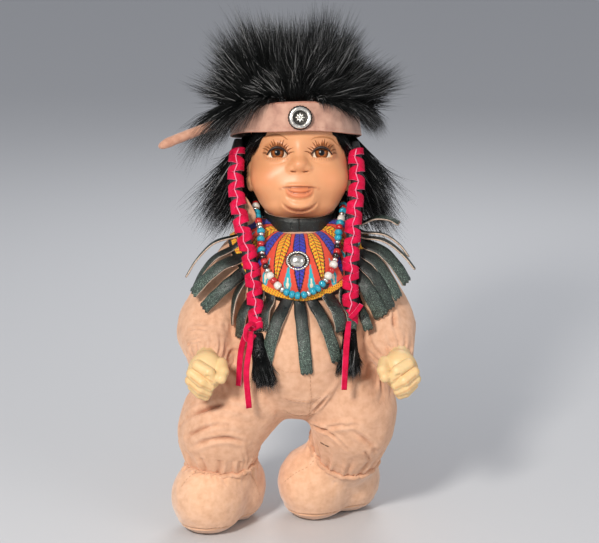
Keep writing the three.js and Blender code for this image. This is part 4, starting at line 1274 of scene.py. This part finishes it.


# ---- Booties ----
# Two soft booties of the same suede, stuffed into a round foot. Each has a toe cap, a sole seam with
# close stitches all the way round, and an ankle gathered over the leg with a rolled hem. Painted light
# brightens the toe cap, and painted shade darkens a narrow band just above the floor.
bootie_finish = soft_suede("pale bootie suede", (224, 178, 142), ((215, 166, 131), (226, 179, 144), (233, 188, 155)))
seam_height, seam_steps, hem_steps = 0.0095, 48, 217
for name, centre, turn, cap, ankle in (
    ("right", (-70, -12), -0.62, [(-104, -46, -4), (-93.5, -44.5, 6.5), (-75.8, -48.5, 17.1), (-55.1, -45, 15.8),
                                  (-40.1, -24.5, -4.4), (-33.3, -14.4, -25)], (-71, -14, 14)),
    ("left", (28, 18), -1.0, [(-14, -12, -12), (2, -20, 4), (20, -22, 13), (38, -18, 10), (52, -2, -8)], (42, 0, 16)),
):
    net = stuffed("bootie_" + name, 0.0045, 0.001, 0.005)
    inside = BVHTree.FromPolygons([v.co for v in net.vertices], [tuple(f.vertices) for f in net.polygons])
    start = at(centre[0], centre[1] + 4, 0)
    start.z = seam_height
    ring = []
    for i in range(seam_steps + 1):
        angle = 2 * math.pi * i / seam_steps
        found = inside.ray_cast(start, Vector((math.cos(angle), math.sin(angle), 0)))[0]
        if found:
            ring.append(tuple(found * 1000 - Vector(pattern_shift)))
    folds = [(ring[i:i + 13], 1.0, 1.3) for i in range(0, len(ring) - 12, 12)] + [(cap, 1.3, 0.8)]
    places, outward, drawn, push = creased(net, folds)
    push += 0.5 * waved(drawn, 40, 13) + 0.22 * waved(drawn, 15, 14)
    ankle_x, ankle_y, ankle_z = ankle
    push += gathers(drawn, ((ankle_x, ankle_y, ankle_z - 4), (ankle_x, ankle_y, ankle_z + 16)), 20, 0.8, 13, 15)
    push[places[:, 2] < 0.004] *= 0.1
    bootie = soft_piece("bootie_" + name + "_stuffed", net, places, outward, push, [bootie_finish], "suede",
                        "bootie_" + name)
    toe = np.array((centre[0] - 34 * math.sin(-turn), centre[1] - 34 * math.cos(turn)))
    # Painted light on the toe cap, and painted shade in a band just above the floor.
    toe_light = np.exp(-((np.linalg.norm(drawn[:, :2] - toe, axis=1) / 30) ** 4))
    painted_light_factor = 1 + 0.13 * toe_light - 0.12 * np.exp(-((drawn[:, 2] + 50) / 5) ** 2)
    painted(bootie, fold_light_and_shade(push, painted_light_factor), "painted_light_shade")
    rim = []
    bearings = np.arctan2(drawn[:, 1] - ankle_y, drawn[:, 0] - ankle_x)
    near_ankle = np.linalg.norm(drawn[:, :2] - (ankle_x, ankle_y), axis=1) < 48
    for i in range(72):
        apart = np.abs((bearings - 2 * math.pi * i / 72 + math.pi) % (2 * math.pi) - math.pi)
        close = np.nonzero((apart < 0.10) & near_ankle)[0]
        rim.append(drawn[close[np.argmax(drawn[close, 2])]] - (0, 0, 1.2))
    rim = np.array(rim)
    for _ in range(5):
        rim = 0.5 * rim + 0.25 * (np.roll(rim, 1, 0) + np.roll(rim, -1, 0))
    hem_path = [on_body(p, 0.0016)[0] for p in pattern_path([*rim[::3], rim[0]], hem_steps)]
    hem_path[-1] = hem_path[0]
    hem_radii = [0.0023 * (1 + 0.09 * math.sin(i * 0.9) + 0.08 * math.sin(i * 0.37)) for i in range(hem_steps)]
    hem = thread(hem_path, hem_radii, 12)
    hem_piece = made_piece("bootie_" + name + "_hem", hem, [suede], "suede")
    painted(hem_piece, np.full((len(hem[0]), 3), 0.97), "painted_light_shade")
    foot_tree = outside_of(bootie)
    stitches = sewn(foot_tree, [(x, y, z + 2.2) for x, y, z in ring], 0.0034, 0.7)
    stitches += sewn(foot_tree, [(x, y, z - 2.4) for x, y, z in cap], 0.0036, 0.7)
    made_piece("bootie_" + name + "_stitches", gather(stitches), [suede_thread], "suede")


# ---- Hands ----
# Two small vinyl fists, paler and yellower than the face. The curled fingers show as rounded ridges
# with soft grooves between them, and the thumb lies across in front.
hand_vinyl = finish("pale yellow vinyl", dye(233, 194, 136), 0.45, Coat_Weight=0.1, Coat_Roughness=0.3,
                    Subsurface_Weight=0.12, Subsurface_Scale=0.003)
mottle(hand_vinyl, 60, [(0.3, dye(230, 192, 136)), (0.7, dye(238, 204, 150))], paint="painted_finger_shade")
grain(hand_vinyl, 1500, 0.00003)


def fist(p):
    """A fist looked at from the front; x is towards the thumb, -y the front, z up."""
    shape = egg(p, (-1, 2, 0), (15.5, 13.5, 18.5))
    for joints, size in (
        (((-9, -9, 7.5), (1.5, -14.5, 5.5), (6.5, -12.5, -0.5)), 5.2),
        (((-12, -9, -0.5), (-2.5, -15, -4.5), (5.0, -12.0, -7.5)), 5.1),
        (((-12, -7, -7.5), (-2.5, -12.8, -11.8), (4.2, -9.5, -14.0)), 4.9),
        (((-9, -4, -13.5), (-1.5, -8.0, -17.2), (3.6, -6.0, -18.8)), 4.3),
    ):
        finger = melt(rod(p, joints[0], joints[1], size), rod(p, joints[1], joints[2], size * 0.96), 1.2)
        shape = melt(shape, finger, 0.9)
    shape = hollow(shape, egg(p, (1.2, -20.5, 1.8), (2.6, 3.6, 2.4)), 1.4)
    thumb = melt(rod(p, (11, 0, 11), (13.5, -9, 7), 5.4), rod(p, (13.5, -9, 7), (13.2, -15.5, 2.5), 4.7), 1.6)
    shape = melt(shape, thumb, 1.0)
    shape = melt(shape, rod(p, (-1, 6, 6), (-2, 24, 8), 10.5), 4)
    return shape


hand_turns, hand_tiers = 150, 99
spins = np.linspace(-math.pi, math.pi, hand_turns, endpoint=False)
tilts = np.linspace(0, math.pi, hand_tiers + 2)[1:-1]
hand_skin = cast(fist, np.array((0.0, -2.0, 1.0)), rays_round(spins, tilts), 60)
# Painted shade darkens the grooves between the curled fingers.
slanted = hand_skin[:, 2] + 0.34 * (hand_skin[:, 0] + 4)
finger_shade = sum(np.exp(-(((slanted - low) / 0.8) ** 2)) for low in (2.2, -5.2, -12.3))
finger_shade = finger_shade * (hand_skin[:, 1] < -9.5) * (np.abs(hand_skin[:, 0] + 3) < 10)
for name, centre, lean, side in (("right", at(-79, -66, 103), 0.22, 1), ("left", at(85, -62, 103), -0.22, -1)):
    leant = Matrix.Rotation(lean, 3, "Y")
    points = [centre + leant @ Vector((side * x, y, z)) * 0.98 / 1000 for x, y, z in hand_skin]
    hand = made_piece("hand_" + name + "_vinyl", (points, rounds_of(hand_tiers, hand_turns), []), [hand_vinyl],
                      "hand_vinyl", "hand_" + name)
    painted(hand, 1 - finger_shade[:, None] * np.array((0.12, 0.26, 0.34)), "painted_finger_shade")


# ---- Fringed collar ----
# One piece of black leather: a band round the neck and a cape over the shoulders, cut all round into
# a fringe. The strips have cream raw edges and pinked tips, curl outwards, and carry a painted mint-grey sheen.
def collar_ray(bearing, rise):
    """Where the clothed body is met when it is looked at from outside, towards inside the chest."""
    heart = at(0, 10, 196)
    heading = Vector((math.sin(bearing) * math.cos(rise), -math.cos(bearing) * math.cos(rise), math.sin(rise)))
    return body_tree.ray_cast(heart + heading * 0.16, -heading)[0]


def collar_net(reach, neck, columns, rows):
    """Points over the shoulders from the neck to an egg-shaped limit, evenly spaced, and how they face."""
    net = []
    middle, radii = at(0, 10, 224), (62 + reach, 92 + reach, 80 + reach)
    neck_middle, neck_foot = at(0, 22, 0), at(0, 0, 203).z
    for j in range(columns):
        bearing = 2 * math.pi * j / columns
        bearing += 0.22 * math.sin(bearing)
        line = []
        for rise in np.radians(np.arange(86, -66, -1.5)):
            spot = collar_ray(bearing, float(rise))
            if spot is None:
                continue
            from_neck = math.hypot((spot.x - neck_middle.x) * 1000 / 1.05, (spot.y - neck_middle.y) * 1000 / 1.1)
            inside = sum(((a - b) * 1000 / r) ** 2 for a, b, r in zip(spot, middle, radii))
            if (from_neck < neck and spot.z > neck_foot) or inside > 1:
                if line and inside > 1:
                    break
                continue
            line.append(spot)
        if len(line) < 3:
            line = [net[-1][0], net[-1][rows // 2], net[-1][-1]]
        steps = np.cumsum([0] + [(b - a).length for a, b in zip(line, line[1:])])
        flat = np.array([tuple(p) for p in line])
        wanted = np.linspace(0, steps[-1], rows)
        net.append(np.stack([np.interp(wanted, steps, flat[:, i]) for i in range(3)], 1).astype(np.float32))
    grid = np.array(net, float)
    for _ in range(6):
        grid[:, 1:-1] = 0.5 * grid[:, 1:-1] + 0.25 * (grid[:, 2:] + grid[:, :-2])
        grid = 0.5 * grid + 0.25 * (np.roll(grid, 1, 0) + np.roll(grid, -1, 0))
    across = np.roll(grid, -1, 0) - np.roll(grid, 1, 0)
    down = np.gradient(grid, axis=1)
    facing = np.cross(down, across)
    facing /= np.maximum(np.linalg.norm(facing, axis=2, keepdims=True), 1e-12)
    outward = grid - np.array(tuple(at(0, 16, 180)))
    facing *= np.sign((facing * outward).sum(2, keepdims=True))
    return grid, facing


def layer(grid, facing, low, high, under_rows=None):
    """A closed sheet of leather or cloth over a grid; its edges count as cut."""
    columns, rows = grid.shape[:2]
    top = grid + facing * high
    picked = np.linspace(0, rows - 1, under_rows or rows).round().astype(int)
    under = (grid + facing * low)[:, picked]
    ring = np.concatenate([top, under[:, ::-1]], 1)
    size = ring.shape[1]
    points = [Vector(p) for p in ring.reshape(-1, 3)]
    faces, cut = [], []
    for j in range(columns):
        n = (j + 1) % columns
        for i in range(size):
            k = (i + 1) % size
            if i == rows - 1:
                cut.append(len(faces))
            faces.append((j * size + i, j * size + k, n * size + k, n * size + i))
    return points, faces, cut


# The ramp's pale mint-grey stops are a painted sheen; the painted sheen attribute sets how much of it shows.
leather = finish("black leather", dye(30, 34, 32), 0.42, Specular_IOR_Level=0.6)
leather_tones_and_sheen = [(0.32, dye(18, 23, 20)), (0.5, dye(34, 43, 38)), (0.62, dye(92, 111, 99)), (0.75, dye(172, 193, 178))]
mottle(leather, 1500, leather_tones_and_sheen, detail=8, paint="painted_sheen")
grain(leather, 1400, 0.0002, kind="pebble")
grain(leather, 240, 0.0003)
uneven_gloss(leather, 200, 0.24, 0.5)
leather_cut = mottled("cream raw edge", (214, 190, 168), 0.9, 500, (186, 156, 136), (230, 210, 190), 3000, 0.0003)
cape_columns, cape_rows = 96, 16
cape_grid, cape_facing = collar_net(3, 28.0, cape_columns, cape_rows)
strip_steps, strip_lanes = 26, 6
strip_round = 2 * (strip_lanes + 1)


def fringe_strip(root, tip, width, twist, bulge, draw):
    """One curling strip of the fringe, from under the yoke to its pinked tip."""
    _, normal = on_body(root)
    outward = (tip - root) - normal * (tip - root).dot(normal)
    outward.normalize()
    start = root - outward * 0.010 + normal * 0.0004
    reach = (tip - root).length
    quarter = root + (tip - root) * 0.35 + normal * (0.004 + bulge * reach)
    later = root + (tip - root) * 0.72 + normal * (0.003 + 0.7 * bulge * reach)
    route = smooth_path([start, root + normal * 0.0012, quarter, later, tip], strip_steps)
    for i in range(5, strip_steps):
        found, facing = on_body(route[i])
        route[i] += facing * max(0.0, 0.0026 - (route[i] - found).dot(facing))
    inner = [b * 0.5 + (a + c) * 0.25 for a, b, c in zip(route, route[1:], route[2:])]
    route = [route[0], *inner, route[-1]]
    tangent = along(route)
    across, widths = [], []
    for i, t in enumerate(tangent):
        side = t.cross(normal)
        if side.length < 0.2:
            side = t.cross(Vector((0, -1, 0)))
        turn = math.radians(twist) * (0.25 + 0.75 * i / (strip_steps - 1))
        across.append(Quaternion(t, turn) @ side.normalized())
        widths.append(width * (0.86 + 0.14 * min(1, i / 6) + 0.03 * math.sin(i * 0.9 + draw)) / 1000)
    points, faces, cut = strap(route, across, widths, 0.0013, lanes=strip_lanes, cup=0.10)
    last = (strip_steps - 1) * strip_round
    for lane in range(strip_lanes + 1):
        tooth = 0.0011 if lane % 2 else -0.0006
        for k in (lane, strip_round - 1 - lane):
            points[last + k] = points[last + k] + tangent[-1] * tooth
    return points, faces, cut


seen_strips = [
    ((-54, 4, 203), (-98.6, 4.0, 170.5), 6.2, 24), ((-58.7, -7.0, 197.6), (-91.6, -8.0, 163.8), 7.0, 20),
    ((-50.9, -14.2, 189.7), (-92.3, -20.0, 160.7), 10.8, 5), ((-45.9, -15.7, 179.1), (-82.7, -26.0, 148.6), 10.8, 8),
    ((-44.5, -16.2, 171.9), (-58.5, -27.0, 135.9), 8.0, 50), ((-37.9, -27.1, 160.6), (-51.2, -36.0, 125.7), 10.7, 10),
    ((-22.8, -36.8, 159.5), (-28.4, -52.0, 135.9), 9.5, 15), ((-11.2, -42.4, 154.4), (-28.8, -60.0, 107.4), 11.4, 0),
    ((0.1, -44.6, 155.0), (5.5, -62.0, 103.3), 10.8, 0), ((10.0, -40.1, 156.7), (32.2, -60.0, 111.5), 10.2, 0),
    ((22.5, -36.6, 163.9), (35.9, -55.0, 136.7), 12.0, -5), ((49.3, -17.6, 151.5), (59.1, -42.0, 134.2), 8.5, 10),
    ((47.0, -16.0, 180.7), (70.9, -30.0, 142.5), 13.0, 0), ((51.3, -15.1, 187.7), (78.7, -25.0, 148.3), 11.5, 0),
    ((53.5, -10.6, 195.5), (85.7, -20.0, 156.6), 11.3, 0), ((56.1, -3.4, 201.2), (93.4, -13.0, 168.8), 12.0, 5),
    ((55, 2, 206), (99.8, -5.0, 179.7), 7.5, -22), ((54, 8, 208), (94.5, 2.0, 189.1), 6.8, -26),
    ((48, 14, 212), (86.5, 12.0, 215.8), 7.0, 28), ((35, -30, 158), (43.5, -50, 128), 10.0, 0),
    ((-33, -33, 160), (-38, -48, 130), 10.0, 5),
]
strips = []
for i, (root, tip, width, twist) in enumerate(seen_strips):
    strips.append(fringe_strip(on_body(at(*root), 0.002)[0], at(*tip), width, twist, 0.10, i))
rim_middle = at(0, 10, 0)
for i in range(11):
    bearing = math.radians(112 + 13.6 * i)
    apart = [math.atan2(p[0] - rim_middle.x, rim_middle.y - p[1]) - bearing for p in cape_grid[:, -1]]
    column = np.argmin([abs((turn + math.pi) % (2 * math.pi) - math.pi) for turn in apart])
    root = Vector(cape_grid[column, -1]) + Vector(cape_facing[column, -1]) * 0.002
    away = Vector((math.sin(bearing), -math.cos(bearing), 0))
    tip = root + away * 0.016 + Vector((0, 0, -0.046 + 0.002 * math.sin(3 * i)))
    skin_spot, skin_face = on_body(tip)
    if (tip - skin_spot).dot(skin_face) < 0.003:
        tip = skin_spot + skin_face * 0.005
    strips.append(fringe_strip(root, tip, 11.5, 4 * math.sin(i * 2.1), 0.10, i))
neck_steps, neck_radius, neck_band_high = 96, 28.6, 0.0262
neck_ring = []
for i in range(neck_steps):
    turn = 2 * math.pi * i / neck_steps
    neck_ring.append(at(1.05 * neck_radius * math.sin(turn), 22 - 1.1 * neck_radius * math.cos(turn),
                        212.2 - 0.8 * math.cos(turn)))
neck_ring.append(neck_ring[0])
neck_band = strap(neck_ring, [Vector((0, 0, 1))] * len(neck_ring), [neck_band_high] * len(neck_ring), 0.0015,
                  lanes=strip_lanes)
cape = layer(cape_grid, cape_facing, 0.0005, 0.0020)
collar = made_piece("fringe_collar_leather", gather([cape, neck_band, *strips]), [leather, leather_cut],
                    "leather", "fringe_collar")
# Painted sheen: the strips grow paler and mint-grey towards their tips, more on some strips than others; the cape and
# neck band stay dark.
painted_sheen = np.full((len(collar.data.vertices), 3), 0.16)
first, strip_points = len(cape[0]) + len(neck_band[0]), strip_steps * strip_round
along_strip = np.repeat(np.linspace(0, 1, strip_steps), strip_round)
for i in range(len(strips)):
    lit = (0.75, 0.5, 1.0, 0.8, 0.4, 0.5, 0.45, 1.0, 0.95, 0.9, 0.45, 0.7)[i % 12]
    shade = 0.10 + 1.7 * lit * np.clip((along_strip - 0.22) / 0.6, 0, 1) ** 1.2
    painted_sheen[first + i * strip_points:first + (i + 1) * strip_points] = shade[:, None]
painted(collar, painted_sheen, "painted_sheen")


# ---- Printed yoke ----
# A yoke of printed cotton lies on the cape, over the fringe's roots. Round the neck run stripes and
# small triangles, then leaves, ribbed lozenges and drops on a coral ground, inside a rope border.
def finer(grid, columns, rows):
    """A grid of points round the neck, with more of them, by straight steps between the old."""
    old_columns, old_rows = grid.shape[:2]
    closed = np.concatenate([grid, grid[:1]])
    down = np.linspace(0, old_rows - 1, rows)
    low = np.minimum(down.astype(int), old_rows - 2)
    part = (down - low)[None, :, None]
    closed = closed[:, low] * (1 - part) + closed[:, low + 1] * part
    round_ = np.arange(columns) / columns * old_columns
    low = round_.astype(int)
    part = (round_ - low)[:, None, None]
    return closed[low] * (1 - part) + closed[low + 1] * part


yoke_columns, yoke_rows, yoke_under_rows = 620, 118, 8
yoke_grid, yoke_facing = collar_net(0, 28.3, 120, 20)
yoke_top, yoke_turned = finer(yoke_grid, yoke_columns, yoke_rows), finer(yoke_facing, yoke_columns, yoke_rows)
shell = layer(yoke_top, yoke_turned, 0.0028, 0.0037, under_rows=yoke_under_rows)
coral, violet, blue, yellow, orange = (dye(226, 74, 52), dye(72, 54, 168), dye(44, 70, 190), dye(246, 196, 40),
                                       dye(238, 128, 32))
turquoise, salmon, black, cream = dye(40, 176, 190), dye(240, 138, 110), dye(22, 16, 24), dye(244, 226, 196)
rib_pairs = ((violet, blue), (yellow, orange), (blue, violet), (orange, yellow))
neck_stripes, triangle_foot, border = 5.0, 12.0, 5.0


def printed(turn, down, long):
    """The print's colour at a bearing, in repeats of the pattern, and a distance below the neck, in millimetres."""
    which, x = int(turn) % 4, abs(turn % 1.0 - 0.5) * 2
    if down > long - border:
        rope = (turn * 9 + (down - long) / border) % 1.0
        if rope < 0.14 or down > long - 0.5 or down < long - 4.5:
            return black
        return orange if rope < 0.56 else yellow
    if down < neck_stripes:
        return (turquoise, black, coral, yellow, black)[int(down)]
    if down < triangle_foot:
        step = 1 - math.floor((down - neck_stripes) / 1.75) / 4
        slope = abs((turn * 4) % 1.0 - 0.5) * 2
        if abs(slope - step) < 0.10:
            return black
        return turquoise if slope < step else salmon
    low = (down - triangle_foot) / max(1.0, long - triangle_foot - border)
    if which % 2 == 0:
        half = 0.82 * math.sin(math.pi * min(1, max(0, low)) ** (0.8, 1.0, 0.7, 1.0)[which]) ** 0.8
    else:
        half = 0.86 * (1 - abs(2 * low - 1))
    edge = half - x
    if edge > 0:
        rib = (down * 0.34 - x * 1.3) % 1.0
        if edge < 0.11 or x < 0.05 or rib < 0.16:
            return black
        return rib_pairs[which][0 if rib < 0.62 else 1]
    drop = abs(x - 1.0) + abs(low - 0.92) * 1.4
    if drop < 0.32:
        return cream if drop < 0.12 else turquoise
    return violet if abs(x - 1.0) + abs(low - 0.12) * 1.4 < 0.26 else coral


lengths = np.linalg.norm(np.diff(yoke_top, axis=1), axis=2).sum(1) * 1000
ring = yoke_rows + yoke_under_rows
print_colours = np.tile(np.array(coral), (yoke_columns * ring, 1))
for j, long in enumerate(lengths):
    for i in range(yoke_rows):
        print_colours[j * ring + i] = printed(j / yoke_columns * 20 + 0.5, i / (yoke_rows - 1) * long, long)
cotton = finish("printed cotton", (1, 1, 1), 0.85, Sheen_Weight=0.25)
mottle(cotton, 220, [(0.3, (0.92, 0.92, 0.92)), (0.7, (1, 1, 1))], paint="paint")
grain(cotton, 700, 0.00003, kind="rib", stretch=(1, 1, 1))
grain(cotton, 700, 0.00003, kind="rib", stretch=(1, -1, 1))
yoke = made_piece("yoke_cotton", shell, [cotton], "print", "printed_yoke")
painted(yoke, print_colours)
yoke_tree = outside_of(yoke)


# ---- Necklace ----
# One string of glass beads of about 7 mm, turquoise, red, white and black, parted by silver ones.
# It lies on the yoke in a long oval and closes behind the neck.
glass = finish("glass bead", (1, 1, 1), 0.16, Coat_Weight=0.8, Coat_Roughness=0.05)
mottle(glass, 700, [(0.3, (0.72, 0.72, 0.72)), (0.7, (1, 1, 1))], paint="paint")
grain(glass, 700, 0.00006)
oval = [(-33, -15, 214), (-33, -22, 202), (-29.5, -33, 191), (-23.5, -40, 180), (-13, -45.5, 170), (0, -47.5, 166),
        (14, -45, 171), (24, -40, 181), (30, -31.5, 193), (32.5, -21, 203), (34, -13, 216), (38, 10, 230.5),
        (34, 38, 230), (0, 59, 227), (-34, 38, 230), (-38, 10, 230.5), (-33, -15, 214)]
string = pattern_path(oval, 600)
order = "STRTSKRKSWRWSTTTTSTTTSWRWSKRKSTTRTW" + "STRTSKRWSTTRS" * 3
hues = {"T": dye(24, 168, 196), "R": dye(206, 34, 36), "W": dye(240, 236, 226), "K": dye(20, 20, 22)}
sizes = {"T": (3.5, 0.0024), "R": (3.3, 0.0025), "W": (3.6, 0.0030), "K": (3.1, 0.0023), "S": (3.0, 0.0018)}
whole = path_length(string)
gone = np.cumsum([0] + [(b - a).length for a, b in zip(string, string[1:])])
bead_outline = ((0, -1), (0.6, -1), (0.9, -0.62), (1, 0), (0.9, 0.62), (0.6, 1), (0, 1))
glass_beads, glass_hues, metal_beads = [], [], []
where, before, i = 0.0, 0.0, 0
while where < whole - 0.004:
    kind = order[i % len(order)]
    size, half = sizes[kind]
    where += before + half
    k = min(max(int(np.searchsorted(gone, where)), 1), len(string) - 2)
    place = Vector(string[k])
    found, normal, _, far = yoke_tree.find_nearest(place)
    if far < 0.014 and (place - found).dot(normal) < 0.0034 + 0.0015:
        place = found + normal * 0.0036
    heading = (string[k + 1] - string[k - 1]).normalized()
    size *= 1 + 0.05 * math.sin(i * 2.7)
    bead = pinned(turned([(out * size, up * half * 980) for out, up in bead_outline], 14), place, heading, i * 0.7)
    if kind == "S":
        metal_beads.append(bead)
    else:
        glass_beads.append(bead)
        glass_hues += [hues[kind]] * len(bead[0])
    before, i = half, i + 1
glass_row = made_piece("necklace_glass", gather(glass_beads), [glass], "beads", "necklace")
painted(glass_row, np.array(glass_hues))
made_piece("necklace_silver", gather(metal_beads), [silver], "beads")


# ---- Braids ----
# Each braid is black hair bound crosswise with the flat crimson lace, which leaves black notches by
# turns at the left and right. A pale zigzag strip in the lace's cut-edge colour runs down its front as a
# painted highlight. A soft tassel ends it.
hair_core = finish("black braided hair", (0.01, 0.01, 0.012), 0.4, Specular_IOR_Level=0.6)
mottle(hair_core, 900, [(0.3, (0.004, 0.004, 0.005)), (0.7, (0.03, 0.03, 0.032))], stretch=(1, 1, 0.1))
grain(hair_core, 1400, 0.0004, stretch=(1, 1, 0.08))
uneven_gloss(hair_core, 300, 0.28, 0.5)
braid_steps, braid_sides, lace_pitch, wrap_steps = 160, 28, 0.0075, 25


def around(path, place, turn, out):
    """A spot on a round braid: how far along (0 to 1), the turn from its front, and how far out."""
    where = min(max(place, 0), 1) * (len(path) - 1)
    i = min(int(where), len(path) - 2)
    middle = path[i].lerp(path[i + 1], where - i)
    t = (path[i + 1] - path[i]).normalized()
    front = Vector((0, -1, 0))
    front = (front - t * front.dot(t)).normalized()
    side = t.cross(front)
    if side.x < 0:
        side = -side
    facing = front * math.cos(turn) + side * math.sin(turn)
    return middle + facing * out, facing

for name, corners, tassel, loop in (
    ("right",
     [(-53, 23, 287), (-55, 3, 255), (-50, -16, 222), (-41.5, -29, 189), (-38, -39, 160), (-35.6, -49.5, 134.5)],
     [(-35.6, -50.5, 132.5), (-33, -64, 112), (-28, -68, 90)],
     [(-37, -54, 141), (-41, -57, 143.5), (-45, -58, 140), (-45.5, -58, 132), (-42, -58, 129), (-38, -56, 134)]),
    ("left",
     [(48, 23, 285), (49.4, 3, 255), (46.2, -16, 222), (44, -28, 189), (43.5, -36, 158), (43, -43.6, 139.5)],
     [(43, -44.6, 137.5), (42.5, -56, 118), (41, -61, 98)],
     [(43, -48, 146), (47, -51, 151), (50, -52.5, 155.5), (52.5, -53, 159.5)]),
):
    route = pattern_path(corners, braid_steps)
    core = thread(route, [0.0052 * (0.7 + 0.3 * min(1, i / 8)) for i in range(braid_steps)], braid_sides)
    for i in range(braid_steps * braid_sides):
        step, spoke = divmod(i, braid_sides)
        ripple = 1 + 0.05 * math.sin(spoke * 1.35 + step * 0.23)
        core[0][i] = route[step] + (core[0][i] - route[step]) * ripple
    made_piece("braid_" + name + "_hair", core, [hair_core], "fur", "braid_" + name)
    wraps = int(path_length(route) * 0.90 / lace_pitch)
    laces = []
    for n in range(wraps):
        start, stop = 0.05 + 0.92 * n / wraps, 0.05 + 0.92 * (n + 1) / wraps
        way = 1 if n % 2 else -1
        broad = 0.0063 + 0.0007 * math.sin(n * 2.7 + len(name))
        line, facings, widths = [], [], []
        for q in range(wrap_steps):
            u = q / (wrap_steps - 1)
            out = 0.0055 + 0.0010 * math.sin(math.pi * (0.18 + 0.5 * (1 - u)))
            spot, facing = around(route, start + (stop - start) * u, way * (2 * u - 1) * 2.2, out)
            line.append(spot)
            facings.append(facing)
            widths.append(broad * (0.84 + 0.16 * math.sin(math.pi * (0.1 + 0.8 * u))))
        across = [f.cross(t) for f, t in zip(facings, along(line))]
        laces.append(strap(line, across, widths, 0.0012, lanes=4, cup=0.03))
    # A pale zigzag strip down the braid's front: a painted highlight, in the lace's cut-edge colour.
    zigzag = []
    for n in range(wraps * 6 + 1):
        swing = 0.14 * (2 * abs((n / 12) % 1 - 0.5) * 2 - 1)
        zigzag.append(around(route, 0.06 + 0.88 * n / (wraps * 6), swing, 0.0076)[0])
    edge = strap(zigzag, [Vector((1, 0, 0))] * len(zigzag), [0.0009] * len(zigzag), 0.0009, lanes=1)
    laces.append((edge[0], edge[1], list(range(len(edge[1])))))
    line = pattern_path(loop, 24)
    across = [t.cross(Vector((0.35, -1, 0.45))) for t in along(line)]
    laces.append(strap(line, across, [lace_width * 0.8] * 24, 0.0011, lanes=4, cup=0.04))
    knot = [around(route, 0.975, a, 0.0062)[0] + Vector((0, 0, 0.0012 * math.sin(3 * a)))
            for a in np.linspace(-3.0, 3.0, 30)]
    laces.append(strap(knot, [Vector((0, 0, 1))] * 30, [0.0056] * 30, 0.0014, lanes=4))
    made_piece("braid_" + name + "_lace", gather(laces), [lace_finish, lace_cut], "lace", "braid_lace_" + name)
    hang = pattern_path(tassel, 12)
    plug = thread(hang[:9], [0.0046, 0.0052, 0.0056, 0.0060, 0.0062, 0.0062, 0.0060, 0.0054, 0.0044], 18)
    combs = []
    for p in plug[0]:
        nearest = min(hang, key=lambda h: (h - p).length)
        combs.append(hang[-1] + (p - nearest) * 1.35 - p)
    grown("tassel_" + name + "_pile", [], plug, combs, 2600, Clumping=0.35, Frizz=0.22, Droop=0.0, Stray=0.05,
          Shortest=0.72, Seed=31, Strand_width=0.00045, Clump_size=0.005)
    made_piece("tassel_" + name + "_core", plug, [hair_core], "fur")


# ---- Suede tab ----
# A small triangle of tan suede with a slit cut in it stands at the right side of the neck. It is
# caught under the braid at its root, and its cut edges are a little darker.
tab_outline = [(-51.5, 3.0, 238), (-47.5, -3.5, 243), (-42.0, -5.0, 236), (-37.5, -5.5, 226), (-40.5, -3.5, 219),
               (-47.0, 0.0, 217), (-52.0, 3.0, 224)]
tab_steps, tab_shares = 48, (1.0, 0.66, 0.33)
tab_points, tab_faces, tab_cut = [], [], []
ring = pattern_path([*tab_outline, tab_outline[0]], tab_steps + 1)[:-1]
centre = sum(ring, Vector()) / len(ring)
for face in (0.0009, -0.0009):
    for share in tab_shares:
        for p in ring:
            spot = centre + (p - centre) * share
            wave = 0.0006 * math.sin(spot.z * 700) * (1 - share * 0.5)
            beside = (spot.x - centre.x + 0.1 * (spot.z - centre.z)) / 0.0007
            slit = 0.0010 * math.exp(-(beside**2)) * (abs(spot.z - centre.z) < 0.006)
            tab_points.append(spot + Vector((0, -1, 0.1)) * (face + wave) + Vector((0, 1, 0)) * slit * (face > 0))
    tab_points.append(centre + Vector((0, -1, 0.1)) * face)
side = tab_steps * len(tab_shares) + 1
for j in range(tab_steps):
    k = (j + 1) % tab_steps
    for base, way in ((0, 1), (side, -1)):
        for low in (base, base + tab_steps):
            tab_faces.append((low + j, low + k, low + tab_steps + k, low + tab_steps + j)[::way])
        tab_faces.append((base + 2 * tab_steps + j, base + 2 * tab_steps + k, base + 3 * tab_steps)[::way])
    tab_cut.append(len(tab_faces))
    tab_faces.append((j, side + j, side + k, k))
tab_finish = finish("tan suede tab", dye(204, 150, 116), 0.95, Sheen_Weight=0.4)
mottle(tab_finish, 200, [(0.25, dye(186, 132, 100)), (0.7, dye(216, 164, 130))], detail=6)
grain(tab_finish, 2000, 0.0003, detail=5)
made_piece("suede_tab_cut", (tab_points, tab_faces, tab_cut), [tab_finish, band_cut], "suede", "suede_tab")
